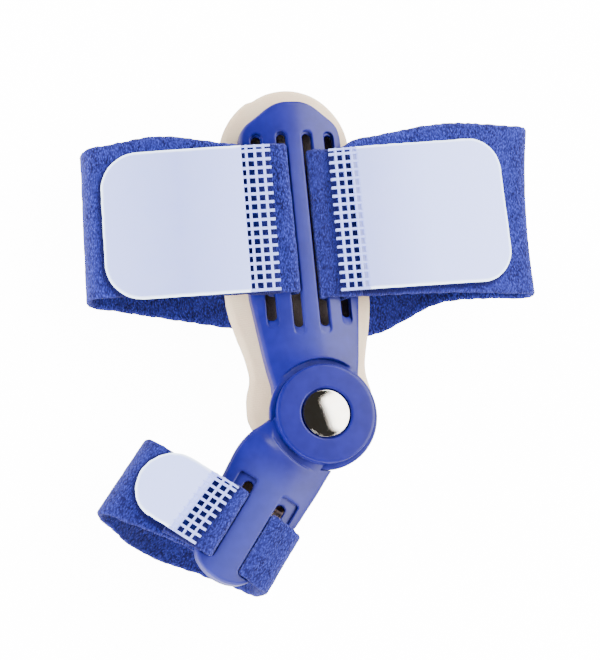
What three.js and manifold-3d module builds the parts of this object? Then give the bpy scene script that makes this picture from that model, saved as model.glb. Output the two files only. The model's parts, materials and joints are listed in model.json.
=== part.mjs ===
// Hinged bunion splint: a moulded foot plate with its foam pad, a toe arm on a riveted hinge,
// and two loop-pile straps closed by pierced hook tabs.
// Millimetres, +Z up. The plate's outer face looks up, its heel end is toward +Y and the toe arm
// points toward -Y, turned to the left. Shapes are worked out about the hinge axis, at the height
// of the plate's crown, and the whole is then set on its straps with its box centred on the origin.

import * as THREE from 'three';
import { mergeVertices } from 'three/addons/utils/BufferGeometryUtils.js';
import Module from 'manifold-3d';

const wasm = await Module();
wasm.setup();

// Fits
const CLEARANCE = 0.3;
const SWING_GAP = 0.8;

// Foot plate
const PLATE_LENGTH = 107.9;
const PLATE_WIDTH = 36.8;
const PLATE_OFFSET = -1.2;
const PLATE_WALL = 2.2;
const PLATE_RIM = 2.2;
const PLATE_CROWN_RADIUS = 30;
const PLATE_EDGE_ROUND = 1.5;
const PLATE_TOE_END = 11;

// Strap slots of the foot plate
const SLOT_WIDTH = 3.2;
const SLOT_INNER_OFFSET = 4.35;
const SLOT_OUTER_OFFSET = 12.4;
const PLATE_HEEL_WALL = 12.6;
const SLOT_INNER_START = 0.254 * PLATE_LENGTH;
const SLOT_OUTER_START = SLOT_INNER_START + 3;
const SLOT_END = PLATE_LENGTH - PLATE_HEEL_WALL;

// Hinge
const DISC_RADIUS = 16.2;
const DISC_THICKNESS = 3;
const DISC_TOP = 0.8;
const DISC_CHAMFER = 0.6;
const BASE_THICKNESS = 2.6;
const BASE_RADIUS = 17.9;
const LIP_RADIUS = 18.3;
const LIP_WALL = 2;
const CAP_RADIUS = 7.7;
const CAP_HEIGHT = 2.1;
const CAP_SKIRT = 0.9;
const SHANK_RADIUS = 3;
const TAIL_RADIUS = 5.5;
const TAIL_THICKNESS = 0.8;

// Foam pad behind the plate
const PAD_CROWN = -7.1;
const PAD_CROWN_RADIUS = 42;
const PAD_THICKNESS = 4;
const PAD_MARGIN = 6.2;
const PAD_HEEL_MARGIN = 4.6;
const PAD_LOBE_WIDTH = 42.8;
const PAD_LOBE_REACH = 12;

// Toe arm, in a frame of its own: across is its right, along runs from the hinge to its tip
const ARM_TURN = THREE.MathUtils.degToRad(-36.5);
const ARM_LENGTH = 64.1;
const ARM_WIDTH = 30.4;
const ARM_OFFSET = -2.8;
const ARM_WALL = 2.8;
const ARM_RIM = 2.2;
const ARM_RIM_BOTTOM = -6.6;
const ARM_CROWN_RADIUS = 30;
const ARM_EDGE_ROUND = 1.4;
const ARM_GROOVE_WIDTH = 2.4;
const ARM_GROOVE_DEPTH = 1.1;
const ARM_BAR_WIDTH = 9.4;
const ARM_SLOT_WIDTH = 3.2;
const ARM_TIP_WALL = 4.1;
const ARM_SLOT_START = 0.496 * ARM_LENGTH;
const ARM_SLOT_END = ARM_LENGTH - ARM_TIP_WALL;
const ARM_POCKET_WIDTH = 6.2;
const ARM_POCKET_DEPTH = 1.1;
const ARM_POCKET_LEDGE = 1.6;
const ARM_POCKET_CORNER = 1;

// Liner under the toe arm
const TOE_PAD_CROWN = -5.9;
const TOE_PAD_CROWN_RADIUS = 18;
const TOE_PAD_THICKNESS = 2;
const TOE_PAD_INSET = 2.6;

// Straps and hook tabs
const STRAP_THICKNESS = 1.8;
const FOOT_STRAP_WIDTH = 50;
const TOE_STRAP_WIDTH = 24;
const FLOOR = -34;
const FOOT_LOOP_LEFT = 70.1;
const FOOT_LOOP_RIGHT = 80.6;
const TOE_LOOP_LEFT = 43.6;
const TOE_LOOP_RIGHT = 13.1;
const STRAP_RETURN = 17.7;
const STRAP_RETURN_FALL = 0.15;
const ARM_STRAP_RISE = 0.75;
const ARM_STRAP_BEND = 1.6;
const ARM_LEFT_UNDER_DROP = 5.4;
const ARM_RIGHT_UNDER_DROP = 5.1;
const TAB_THICKNESS = 1;
const TAB_CORNER = 11.5;
const FOOT_TAB_WIDTH = 49.8;
const FOOT_TAB_LEFT_LENGTH = 55.5;
const FOOT_TAB_RIGHT_LENGTH = 62.5;
const TOE_TAB_WIDTH = 22.7;
const TOE_TAB_LENGTH = 28.6;
const GRID_PITCH = 2.85;
const GRID_HOLE = 1.85;
const GRID_EDGE = 1.1;
const FOOT_GRID_COLUMNS = 3;
const TOE_GRID_COLUMNS = 3;

// Where each tab starts: out from the middle of its plate or arm, raised over the strap under it,
// shifted along, with its outward slope and its turn
const FOOT_TAB_OUT = 9.9;
const LEFT_TAB_PLACE = { raise: 1.35, shift: 0.2, slope: 0.215, turn: 0.052 };
const RIGHT_TAB_PLACE = { raise: 0.55, shift: 0.3, slope: 0.09, turn: 0.057 };
const TOE_TAB_OUT = 10.8;
const TOE_TAB_PLACE = { raise: 0.55, shift: -0.2, slope: 0.37, turn: 0.06 };

// Half widths along the plate: along is a share of its length, width of half its width
const PLATE_OUTLINE = [
  { along: 0.10, width: 0.770 },
  { along: 0.165, width: 0.838 },
  { along: 0.25, width: 0.905 },
  { along: 0.33, width: 0.962 },
  { along: 0.39, width: 1.000 },
  { along: 0.60, width: 0.985 },
  { along: 0.87, width: 0.945 },
];

// Half widths of the pad: along is a share of the plate's length, width of half the pad's width
const PAD_OUTLINE = [
  { along: 0.03, width: 0.872 },
  { along: 0.08, width: 0.860 },
  { along: 0.14, width: 0.803 },
  { along: 0.20, width: 0.835 },
  { along: 0.30, width: 0.945 },
  { along: 0.39, width: 1.000 },
  { along: 0.60, width: 0.960 },
  { along: 0.86, width: 0.885 },
];

// Edges of the toe arm: along is a share of its length, left and right of half its width
const ARM_OUTLINE = [
  { along: 0.14, left: 0.78, right: 0.99 },
  { along: 0.21, left: 0.82, right: 1.02 },
  { along: 0.27, left: 0.95, right: 1.03 },
  { along: 0.36, left: 1.02, right: 1.01 },
  { along: 0.47, left: 0.99, right: 0.97 },
  { along: 0.56, left: 0.96, right: 0.93 },
  { along: 0.80, left: 0.80, right: 0.76 },
  { along: 0.88, left: 0.73, right: 0.68 },
];

function lookup(table, column, along) {
  const last = table.length - 1;
  const slope = (i) => {
    const low = table[Math.max(0, i - 1)];
    const high = table[Math.min(last, i + 1)];
    return (high[column] - low[column]) / (high.along - low.along);
  };
  if (along <= table[0].along) return table[0][column];
  if (along >= table[last].along) return table[last][column];
  const i = table.findIndex((row) => row.along > along) - 1;
  const span = table[i + 1].along - table[i].along;
  const t = (along - table[i].along) / span;
  const start = table[i][column] * (1 + 2 * t) * (1 - t) ** 2 + slope(i) * span * t * (1 - t) ** 2;
  const end = table[i + 1][column] * t ** 2 * (3 - 2 * t) - slope(i + 1) * span * t ** 2 * (1 - t);
  return start + end;
}

// Drop of a round surface at a distance from its crown line
function sag(radius, distance) {
  const reach = Math.min(Math.abs(distance), 0.98 * radius);
  return radius - Math.sqrt(radius ** 2 - reach ** 2);
}

// Drop of a rounded edge at a distance inside the outline
function edgeDrop(radius, inside) {
  const part = Math.min(1, Math.max(0, 1 - inside / radius));
  return radius * (1 - Math.sqrt(1 - part ** 2));
}

function ellipseShare(part) {
  return Math.sqrt(Math.max(0, 1 - part ** 2));
}

function geometryFrom(vertices, triangles) {
  const geometry = new THREE.BufferGeometry();
  geometry.setAttribute('position', new THREE.Float32BufferAttribute(vertices, 3));
  geometry.setIndex(triangles);
  return geometry;
}

function solidOf(geometry) {
  const bare = geometry.clone();
  bare.deleteAttribute('normal');
  bare.deleteAttribute('uv');
  const merged = mergeVertices(bare, 1e-4);
  return new wasm.Manifold(new wasm.Mesh({
    numProp: 3,
    vertProperties: new Float32Array(merged.attributes.position.array),
    triVerts: new Uint32Array(merged.index.array),
  }));
}

function geometryOf(solid) {
  const mesh = solid.getMesh();
  return geometryFrom(Array.from(mesh.vertProperties), Array.from(mesh.triVerts));
}

// Closed body between an upper and a lower surface, lofted through stations along Y.
// Each station gives y and its left and right edge; shares place the columns across.
function loftedSlab(stations, topOf, bottomOf, shares) {
  const vertices = [];
  const triangles = [];
  const columns = shares.length;
  const ring = 2 * columns;
  for (const { y, left, right } of stations) {
    const xs = shares.map((share) => left + (right - left) * share);
    xs.forEach((x) => vertices.push(x, y, topOf(x, y, left, right)));
    xs.forEach((x) => vertices.push(x, y, bottomOf(x, y, left, right)));
  }
  const quad = (a, b, c, d) => triangles.push(a, b, c, a, c, d);
  for (let s = 0; s + 1 < stations.length; s += 1) {
    const near = s * ring;
    const far = near + ring;
    for (let i = 0; i + 1 < columns; i += 1) {
      quad(near + i, near + i + 1, far + i + 1, far + i);
      quad(near + columns + i + 1, near + columns + i, far + columns + i, far + columns + i + 1);
    }
    quad(near + columns, near, far, far + columns);
    quad(near + columns - 1, near + ring - 1, far + ring - 1, far + columns - 1);
  }
  const end = (stations.length - 1) * ring;
  for (let i = 0; i + 1 < columns; i += 1) {
    quad(i + 1, i, columns + i, columns + i + 1);
    quad(end + i, end + i + 1, end + columns + i + 1, end + columns + i);
  }
  return geometryFrom(vertices, triangles);
}

// Columns that crowd toward the edges, where a section turns fastest
function columnShares(count) {
  return Array.from({ length: count + 1 }, (_, i) => {
    const even = (2 * i) / count - 1;
    return 0.5 + 0.5 * Math.sin((even * Math.PI) / 2) * 0.55 + 0.5 * even * 0.45;
  });
}

function disc(radius, bottom, top, sides = 44) {
  const geometry = new THREE.CylinderGeometry(radius, radius, top - bottom, sides);
  geometry.rotateX(Math.PI / 2);
  geometry.translate(0, 0, (top + bottom) / 2);
  return geometry;
}

function latheAboutZ(profile, sides) {
  const geometry = new THREE.LatheGeometry(profile.map(([r, z]) => new THREE.Vector2(r, z)), sides);
  geometry.rotateX(Math.PI / 2);
  return geometry;
}

// Upright cutter whose plan is a slot with round ends
function slotCutter(x, start, end, width, bottom, top) {
  const round = width / 2;
  const radii = [round, round, round, round];
  const shape = roundedRectangle(x - round, start, x + round, end, radii, 3);
  const options = { depth: top - bottom, bevelEnabled: false };
  return new THREE.ExtrudeGeometry(shape, options).translate(0, 0, bottom);
}

// Plan with four corners rounded by radii given counter-clockwise from the lower left
function roundedRectangle(left, low, right, high, radii, steps) {
  const corners = [[left, low, 1, 1], [right, low, -1, 1], [right, high, -1, -1], [left, high, 1, -1]];
  const points = [];
  corners.forEach(([x, y, inX, inY], corner) => {
    const radius = radii[corner];
    const count = radius > 0 ? steps : 0;
    for (let i = 0; i <= count; i += 1) {
      const turn = Math.PI + (Math.PI / 2) * (corner + (count > 0 ? i / count : 0));
      const point = new THREE.Vector2(
        x + inX * radius + radius * Math.cos(turn),
        y + inY * radius + radius * Math.sin(turn),
      );
      const last = points[points.length - 1];
      if (!last || last.distanceTo(point) > CLEARANCE / 10) points.push(point);
    }
  });
  return new THREE.Shape(points);
}

// Stations of a plan whose far end is half an ellipse of the given reach
function roundEndStations(yStart, yRound, yEnd, halfAt, centreAt, bodyCount, endCount) {
  const stations = [];
  for (let i = 0; i < bodyCount; i += 1) {
    const y = yStart + ((yRound - yStart) * i) / bodyCount;
    stations.push({ y, left: centreAt(y) - halfAt(y), right: centreAt(y) + halfAt(y) });
  }
  for (let i = 0; i <= endCount; i += 1) {
    const turn = (0.97 * Math.PI * i) / (2 * endCount);
    const y = yRound + (yEnd - yRound) * Math.sin(turn);
    const half = halfAt(yRound) * Math.cos(turn);
    stations.push({ y, left: centreAt(y) - half, right: centreAt(y) + half });
  }
  return stations;
}

// Foam pad: a crowned slab with a rounded heel end and a round lobe behind the hinge
const padWidth = PLATE_WIDTH + 2 * PAD_MARGIN;
const padRoundStart = 0.86 * PLATE_LENGTH;
const padEnd = PLATE_LENGTH + PAD_HEEL_MARGIN;
const padLobeCentre = PAD_OUTLINE[0].along * PLATE_LENGTH;

function padTop(x) {
  return PAD_CROWN - sag(PAD_CROWN_RADIUS, x - PLATE_OFFSET);
}

function padHalfAt(y) {
  if (y < padLobeCentre) {
    const part = (padLobeCentre - y) / (padLobeCentre + PAD_LOBE_REACH);
    return (PAD_LOBE_WIDTH / 2) * ellipseShare(part);
  }
  const narrow = lookup(PAD_OUTLINE, 'width', y / PLATE_LENGTH) * (padWidth / 2);
  const lobe = PAD_OUTLINE[0].width * (padWidth / 2);
  return narrow + (PAD_LOBE_WIDTH / 2 - lobe) * Math.max(0, 1 - (y - padLobeCentre) / padLobeCentre / 3);
}

function footPad() {
  const stations = [];
  const lobeSteps = 7;
  for (let i = 0; i < lobeSteps; i += 1) {
    const turn = (0.97 * Math.PI * (lobeSteps - i)) / (2 * lobeSteps);
    const y = padLobeCentre - (padLobeCentre + PAD_LOBE_REACH) * Math.sin(turn);
    const half = padHalfAt(y);
    stations.push({ y, left: PLATE_OFFSET - half, right: PLATE_OFFSET + half });
  }
  stations.push(...roundEndStations(padLobeCentre, padRoundStart, padEnd, padHalfAt,
    () => PLATE_OFFSET, 12, 7));
  const top = (x) => padTop(x);
  const bottom = (x) => padTop(x) - PAD_THICKNESS;
  return loftedSlab(stations, top, bottom, columnShares(9));
}

// Foot plate
const plateRoundStart = 0.87 * PLATE_LENGTH;
const discBottom = DISC_TOP - DISC_THICKNESS;
const baseTop = discBottom - CLEARANCE;
const baseBottom = baseTop - BASE_THICKNESS;
const deep = FLOOR;
const high = 20;

function plateTop(x) {
  return -sag(PLATE_CROWN_RADIUS, x - PLATE_OFFSET);
}

function plateHalfAt(y) {
  return lookup(PLATE_OUTLINE, 'width', y / PLATE_LENGTH) * (PLATE_WIDTH / 2);
}

function footPlate() {
  const outerTop = (x, y, left, right) =>
    plateTop(x) - edgeDrop(PLATE_EDGE_ROUND, Math.min(x - left, right - x));
  const rimBottom = (x) => padTop(x) + CLEARANCE;
  const stations = roundEndStations(PLATE_TOE_END, plateRoundStart, PLATE_LENGTH, plateHalfAt,
    () => PLATE_OFFSET, 13, 9);
  const body = solidOf(loftedSlab(stations, outerTop, rimBottom, columnShares(12)));

  const insideHalf = (y) => plateHalfAt(y) - PLATE_RIM;
  const insideStations = roundEndStations(PLATE_TOE_END - CLEARANCE, plateRoundStart,
    PLATE_LENGTH - PLATE_RIM, insideHalf, () => PLATE_OFFSET, 12, 8);
  const underside = (x) => plateTop(x) - PLATE_WALL;
  const hollow = solidOf(loftedSlab(insideStations, underside, () => deep, columnShares(8)))
    .subtract(solidOf(disc(LIP_RADIUS + LIP_WALL, deep - 1, high)));

  let plate = body.subtract(hollow).add(solidOf(disc(BASE_RADIUS, baseBottom, baseTop)));
  plate = plate.subtract(solidOf(disc(LIP_RADIUS, baseTop, high)));
  plate = plate.subtract(solidOf(disc(SHANK_RADIUS + CLEARANCE, deep, high, 24)));
  for (const side of [-1, 1]) {
    const inner = PLATE_OFFSET + side * SLOT_INNER_OFFSET;
    const outer = PLATE_OFFSET + side * SLOT_OUTER_OFFSET;
    plate = plate.subtract(solidOf(slotCutter(inner, SLOT_INNER_START, SLOT_END, SLOT_WIDTH, deep, high)));
    plate = plate.subtract(solidOf(slotCutter(outer, SLOT_OUTER_START, SLOT_END, SLOT_WIDTH, deep, high)));
  }
  return geometryOf(plate);
}

// Toe arm, drawn pointing down its own -Y
const armRoundStart = 0.88 * ARM_LENGTH;
const armStart = 9;
const pocketStart = ARM_SLOT_START - ARM_POCKET_LEDGE;

function armTop(x) {
  return -sag(ARM_CROWN_RADIUS, x - ARM_OFFSET);
}

function armStations(inset, first) {
  const stations = [];
  const bodyCount = 12;
  const endCount = 8;
  const half = ARM_WIDTH / 2;
  const edge = (column, along) => half * lookup(ARM_OUTLINE, column, along / ARM_LENGTH) - inset;
  for (let i = 0; i <= endCount; i += 1) {
    const turn = (0.97 * Math.PI * (endCount - i)) / (2 * endCount);
    const along = armRoundStart + (ARM_LENGTH - inset - armRoundStart) * Math.sin(turn);
    const left = edge('left', armRoundStart) * Math.cos(turn);
    const right = edge('right', armRoundStart) * Math.cos(turn);
    stations.push({ y: -along, left: ARM_OFFSET - left, right: ARM_OFFSET + right });
  }
  for (let i = 1; i <= bodyCount; i += 1) {
    const along = armRoundStart + ((first - armRoundStart) * i) / bodyCount;
    const left = edge('left', along);
    const right = edge('right', along);
    stations.push({ y: -along, left: ARM_OFFSET - left, right: ARM_OFFSET + right });
  }
  return stations;
}

function toeArm() {
  const outerTop = (x, y, left, right) =>
    armTop(x) - edgeDrop(ARM_EDGE_ROUND, Math.min(x - left, right - x));
  const body = solidOf(loftedSlab(armStations(0, armStart), outerTop, () => ARM_RIM_BOTTOM,
    columnShares(10)));
  const underside = (x) => armTop(x) - ARM_WALL;
  const hollow = solidOf(loftedSlab(armStations(ARM_RIM, armStart - CLEARANCE), underside,
    () => deep, columnShares(8))).subtract(solidOf(disc(LIP_RADIUS + LIP_WALL, deep - 1, high)));

  // The strap passes under both rails, so the rim is open there
  const reliefEnds = [-ARM_SLOT_END - CLEARANCE, -ARM_SLOT_START + SWING_GAP];
  const reliefRows = reliefEnds.map((y) => ({ y, left: -ARM_WIDTH, right: ARM_WIDTH }));
  const relief = solidOf(loftedSlab(reliefRows, underside, () => deep, columnShares(20)));

  const swing = solidOf(disc(LIP_RADIUS + SWING_GAP, deep, discBottom));
  const groove = solidOf(disc(DISC_RADIUS + ARM_GROOVE_WIDTH, -ARM_GROOVE_DEPTH, high));
  const topDisc = solidOf(latheAboutZ([
    [0, discBottom],
    [DISC_RADIUS, discBottom],
    [DISC_RADIUS, DISC_TOP - DISC_CHAMFER],
    [DISC_RADIUS - DISC_CHAMFER, DISC_TOP],
    [0, DISC_TOP],
  ], 44));
  const capSeat = discTopSeat();
  let arm = body.subtract(hollow).subtract(relief).subtract(swing).subtract(groove).add(topDisc);
  arm = arm.subtract(solidOf(disc(CAP_RADIUS + 2 * CLEARANCE, capSeat, high, 40)));
  arm = arm.subtract(solidOf(disc(SHANK_RADIUS + CLEARANCE, deep, high, 24)));

  for (const side of [-1, 1]) {
    const barEdge = ARM_OFFSET + (side * ARM_BAR_WIDTH) / 2;
    const slotX = barEdge + (side * ARM_SLOT_WIDTH) / 2;
    arm = arm.subtract(solidOf(slotCutter(slotX, -ARM_SLOT_END, -ARM_SLOT_START, ARM_SLOT_WIDTH,
      deep, high)));
    const farEdge = barEdge + side * ARM_POCKET_WIDTH;
    const left = Math.min(barEdge, farEdge);
    const right = Math.max(barEdge, farEdge);
    const ends = [-ARM_SLOT_END - CLEARANCE, -pocketStart + CLEARANCE];
    const floor = (x) => armTop(x) - ARM_POCKET_DEPTH;
    const sunk = solidOf(loftedSlab(ends.map((y) => ({ y, left, right })), () => high, floor,
      columnShares(4)));
    const round = ARM_POCKET_CORNER;
    const shape = roundedRectangle(left, -ARM_SLOT_END, right, -pocketStart,
      [round, round, round, round], 3);
    const options = { depth: high - deep, bevelEnabled: false };
    const plan = solidOf(new THREE.ExtrudeGeometry(shape, options).translate(0, 0, deep));
    arm = arm.subtract(sunk.intersect(plan));
  }
  return geometryOf(arm);
}

function discTopSeat() {
  return DISC_TOP - CAP_SKIRT - CLEARANCE;
}

function toePad() {
  const stations = armStations(TOE_PAD_INSET, LIP_RADIUS + LIP_WALL + SWING_GAP);
  const top = (x) => TOE_PAD_CROWN - sag(TOE_PAD_CROWN_RADIUS, x - ARM_OFFSET);
  const bottom = (x) => top(x) - TOE_PAD_THICKNESS;
  const slab = loftedSlab(stations, top, bottom, columnShares(8));
  return slab;
}

// Rivet: a domed cap in the disc's seat, a shank, and a tail spread under the plate's base
function hingeRivet() {
  const seat = discTopSeat() + CLEARANCE;
  const tailTop = baseBottom - CLEARANCE;
  const profile = [[0, tailTop - TAIL_THICKNESS], [TAIL_RADIUS, tailTop - TAIL_THICKNESS]];
  profile.push([TAIL_RADIUS, tailTop], [SHANK_RADIUS, tailTop], [SHANK_RADIUS, seat]);
  profile.push([CAP_RADIUS, seat], [CAP_RADIUS, seat + CAP_SKIRT]);
  const steps = 6;
  for (let i = 1; i < steps; i += 1) {
    const turn = (Math.PI / 2) * (i / steps);
    profile.push([CAP_RADIUS * Math.cos(turn), seat + CAP_SKIRT + CAP_HEIGHT * Math.sin(turn)]);
  }
  profile.push([0, seat + CAP_SKIRT + CAP_HEIGHT]);
  return latheAboutZ(profile, 28);
}

// A strap's run seen from its toe side: rows of across, up and bend radius, with the strap's
// middle line, width and slant there. Straight stretches join round bends.
function strapSections(rows) {
  const points = rows.map((row) => new THREE.Vector2(row.across, row.up));
  const sections = [];
  const add = (point, at) => sections.push({ point, at });
  add(points[0], 0);
  for (let i = 1; i + 1 < points.length; i += 1) {
    const before = points[i - 1].clone().sub(points[i]);
    const after = points[i + 1].clone().sub(points[i]);
    const turn = Math.PI - before.angleTo(after);
    if (turn < 0.02) {
      add(points[i], i);
      continue;
    }
    const room = 0.495 * Math.min(before.length(), after.length());
    const reach = Math.min(rows[i].bend * Math.tan(turn / 2), room);
    const steps = Math.max(2, Math.ceil(turn / 0.3));
    for (let k = 0; k <= steps; k += 1) {
      const t = k / steps;
      const start = points[i].clone().addScaledVector(before, reach / before.length());
      const end = points[i].clone().addScaledVector(after, reach / after.length());
      const weight = Math.cos(turn / 2);
      const a = (1 - t) ** 2;
      const b = 2 * t * (1 - t) * weight;
      const c = t ** 2;
      const point = start.multiplyScalar(a).addScaledVector(points[i], b).addScaledVector(end, c);
      const share = t < 0.5 ? -reach * (1 - 2 * t) / before.length() : reach * (2 * t - 1) / after.length();
      add(point.divideScalar(a + b + c), i + share);
    }
  }
  add(points[points.length - 1], points.length - 1);
  return sections;
}

function strap(rows, thickness) {
  const table = rows.map((row, i) => ({ ...row, along: i }));
  const sections = strapSections(rows);
  const vertices = [];
  const triangles = [];
  sections.forEach(({ point, at }, i) => {
    const back = sections[Math.max(0, i - 1)].point;
    const ahead = sections[Math.min(sections.length - 1, i + 1)].point;
    const along = ahead.clone().sub(back).normalize();
    const normal = new THREE.Vector2(-along.y, along.x);
    const middle = lookup(table, 'middle', at);
    const half = lookup(table, 'width', at) / 2;
    const slant = lookup(table, 'slant', at);
    for (const [side, face] of [[-1, -1], [1, -1], [1, 1], [-1, 1]]) {
      const reach = (face * thickness) / 2;
      vertices.push(point.x + normal.x * reach + side * half * slant, middle + side * half,
        point.y + normal.y * reach);
    }
  });
  for (let s = 0; s + 1 < sections.length; s += 1) {
    for (let k = 0; k < 4; k += 1) {
      const a = 4 * s + k;
      const b = 4 * s + ((k + 1) % 4);
      triangles.push(a, b + 4, a + 4, a, b, b + 4);
    }
  }
  const end = 4 * (sections.length - 1);
  triangles.push(0, 2, 1, 0, 3, 2, end, end + 1, end + 2, end, end + 2, end + 3);
  return geometryFrom(vertices, triangles);
}

// Heights of the strap's middle over and under the plate's bars
const strapHalf = STRAP_THICKNESS / 2;
const lie = strapHalf + CLEARANCE;
const layer = STRAP_THICKNESS + CLEARANCE;
const railEdge = SLOT_OUTER_OFFSET + SLOT_WIDTH / 2;
const barNear = SLOT_INNER_OFFSET + SLOT_WIDTH / 2;
const barFar = SLOT_OUTER_OFFSET - SLOT_WIDTH / 2;
const railLie = -sag(PLATE_CROWN_RADIUS, railEdge) + lie + CLEARANCE;
const loopDepth = -FLOOR - strapHalf;

// Rows from a strap end, lying on its own front layer, in through the inner slot and out through
// the outer one, to where the front layer leaves the plate
function slotRows(side, middle) {
  const at = (offset) => PLATE_OFFSET + side * offset;
  const under = (offset) => -sag(PLATE_CROWN_RADIUS, offset) - PLATE_WALL - lie;
  const over = (offset) => -sag(PLATE_CROWN_RADIUS, offset) + lie;
  const width = 1.01;
  const row = (offset, up, bend) => ({ across: at(offset), up, bend, middle, width, slant: 0 });
  return [
    row(STRAP_RETURN, railLie + layer - STRAP_RETURN_FALL * (STRAP_RETURN - railEdge), 2),
    row(railEdge + 0.4, railLie + layer + CLEARANCE / 2, 4),
    row(barFar - 0.6, over(barFar) + 2 * CLEARANCE, 4),
    row(SLOT_INNER_OFFSET, over(barNear) + CLEARANCE, 1.8),
    row(SLOT_INNER_OFFSET, under(barNear) + CLEARANCE, 1.7),
    row(SLOT_OUTER_OFFSET, under(barFar) - 2 * CLEARANCE, 1.4),
    row(SLOT_OUTER_OFFSET, railLie, 1.4),
  ];
}

// Foot strap round the foot. Out is a share of the loop's reach to that side, down and bend of its
// depth, middle of the plate's length, width of the strap's width, slant of half that width.
const LEFT_MIDDLE = 0.61 * PLATE_LENGTH;
const RIGHT_MIDDLE = 0.589 * PLATE_LENGTH;
const FOOT_LOOP_RUN = [
  { out: -0.314, down: 0.103, bend: 0.91, middle: 0.621, width: 1.03, slant: 0 },
  { out: -0.642, down: 0.242, bend: 1.80, middle: 0.649, width: 1.09, slant: 0.02 },
  { out: -1, down: 0.399, bend: 0.139, middle: 0.662, width: 1.08, slant: 0.03 },
  { out: -1, down: 0.743, bend: 0.157, middle: 0.654, width: 1.07, slant: 0.03 },
  { out: -0.628, down: 1, bend: 1.80, middle: 0.628, width: 1.08, slant: 0 },
  { out: -0.228, down: 1, bend: 1.80, middle: 0.580, width: 1.08, slant: 0 },
  { out: 0.335, down: 1, bend: 0.79, middle: 0.552, width: 1.12, slant: 0 },
  { out: 0.633, down: 0.619, bend: 1.21, middle: 0.639, width: 1.18, slant: 0.03 },
  { out: 1, down: 0.411, bend: 0.085, middle: 0.629, width: 1.19, slant: 0.11 },
  { out: 1, down: 0.230, bend: 0.085, middle: 0.629, width: 1.19, slant: 0.11 },
  { out: 0.645, down: 0.157, bend: 1.80, middle: 0.639, width: 1.19, slant: 0.05 },
  { out: 0.248, down: 0.100, bend: 0.91, middle: 0.612, width: 1.08, slant: 0 },
];

function loopRow(row, leftReach, rightReach, length) {
  return {
    ...row,
    across: row.out * (row.out < 0 ? leftReach : rightReach),
    up: -row.down * loopDepth,
    bend: row.bend * loopDepth,
    middle: row.middle * length,
  };
}

function scaledWidth(rows, width) {
  return rows.map((row) => ({ ...row, width: row.width * width }));
}

function footStrap() {
  const rows = [
    ...slotRows(-1, LEFT_MIDDLE),
    ...FOOT_LOOP_RUN.map((row) => loopRow(row, FOOT_LOOP_LEFT, FOOT_LOOP_RIGHT, PLATE_LENGTH)),
    ...slotRows(1, RIGHT_MIDDLE).reverse(),
  ];
  return strap(scaledWidth(rows, FOOT_STRAP_WIDTH), STRAP_THICKNESS);
}

// Toe strap, drawn in the arm's frame, with the same columns as the foot strap: middle runs toward
// the tip as -Y and is a share of the arm's length
const TOE_END_RUN = [
  { out: -0.564, down: 0.142, bend: 0.06, middle: -0.749, width: 1, slant: 0 },
  { out: -0.385, down: 0.051, bend: 0.18, middle: -0.743, width: 1, slant: 0 },
  { out: -0.307, down: 0.012, bend: 0.12, middle: -0.739, width: 1, slant: 0 },
];
const TOE_LOOP_RUN = [
  { out: -0.298, down: 0.2145, bend: 0.09, middle: -0.739, width: 1, slant: 0 },
  { out: -0.427, down: 0.248, bend: 0.30, middle: -0.746, width: 1.01, slant: 0 },
  { out: -1, down: 0.326, bend: 0.139, middle: -0.774, width: 1.18, slant: 0.02 },
  { out: -1, down: 0.650, bend: 0.196, middle: -0.780, width: 1.18, slant: 0.02 },
  { out: -0.573, down: 1, bend: 0.66, middle: -0.796, width: 1.12, slant: 0 },
  { out: 0.153, down: 1, bend: 0.36, middle: -0.736, width: 1, slant: 0 },
  { out: 1, down: 0.665, bend: 0.36, middle: -0.743, width: 0.94, slant: 0 },
  { out: 1, down: 0.073, bend: 0.097, middle: -0.758, width: 0.91, slant: 0 },
];
const TOE_INNER_RUN = [
  { out: 0.504, down: 0.175, bend: 0.06, middle: -0.757, width: 0.92, slant: 0 },
];

// Rows through a slot of the arm, from the outer face to the inner one
function armSlotRows(side, underDrop, middle, width) {
  const across = ARM_OFFSET + (side * (ARM_BAR_WIDTH + ARM_SLOT_WIDTH)) / 2;
  const top = ARM_STRAP_RISE;
  const row = (up, bend) => ({ across, up, bend, middle: middle * ARM_LENGTH, width, slant: 0 });
  return [row(top, ARM_STRAP_BEND), row(-underDrop, ARM_STRAP_BEND)];
}

function toeStrap() {
  const toeRow = (row) => loopRow(row, TOE_LOOP_LEFT, TOE_LOOP_RIGHT, ARM_LENGTH);
  const rows = [
    ...TOE_END_RUN.map(toeRow),
    ...armSlotRows(-1, ARM_LEFT_UNDER_DROP, -0.738, 1),
    ...TOE_LOOP_RUN.map(toeRow),
    ...armSlotRows(1, ARM_RIGHT_UNDER_DROP, -0.752, 0.92),
    ...TOE_INNER_RUN.map(toeRow),
  ];
  return strap(scaledWidth(rows, TOE_STRAP_WIDTH), STRAP_THICKNESS);
}

// Hook tab drawn flat: its pierced grid starts at x = 0 and its round corners are at the far end
function hookTab(length, width, corner, columns) {
  const half = width / 2;
  const shape = roundedRectangle(0, -half, length, half, [0, corner, corner, 0], 8);
  const options = { depth: TAB_THICKNESS, bevelEnabled: false };
  let tab = solidOf(new THREE.ExtrudeGeometry(shape, options).translate(0, 0, -TAB_THICKNESS / 2));
  const rows = Math.floor((width - GRID_EDGE) / GRID_PITCH);
  for (let column = 0; column < columns; column += 1) {
    for (let row = 0; row < rows; row += 1) {
      const x = GRID_EDGE + GRID_HOLE / 2 + column * GRID_PITCH;
      const y = (row - (rows - 1) / 2) * GRID_PITCH;
      const hole = new THREE.BoxGeometry(GRID_HOLE, GRID_HOLE, 2 * TAB_THICKNESS).translate(x, y, 0);
      tab = tab.subtract(solidOf(hole));
    }
  }
  return geometryOf(tab);
}

function finish(colour, roughness, metalness) {
  return new THREE.MeshStandardMaterial({ color: colour, roughness, metalness });
}

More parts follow.
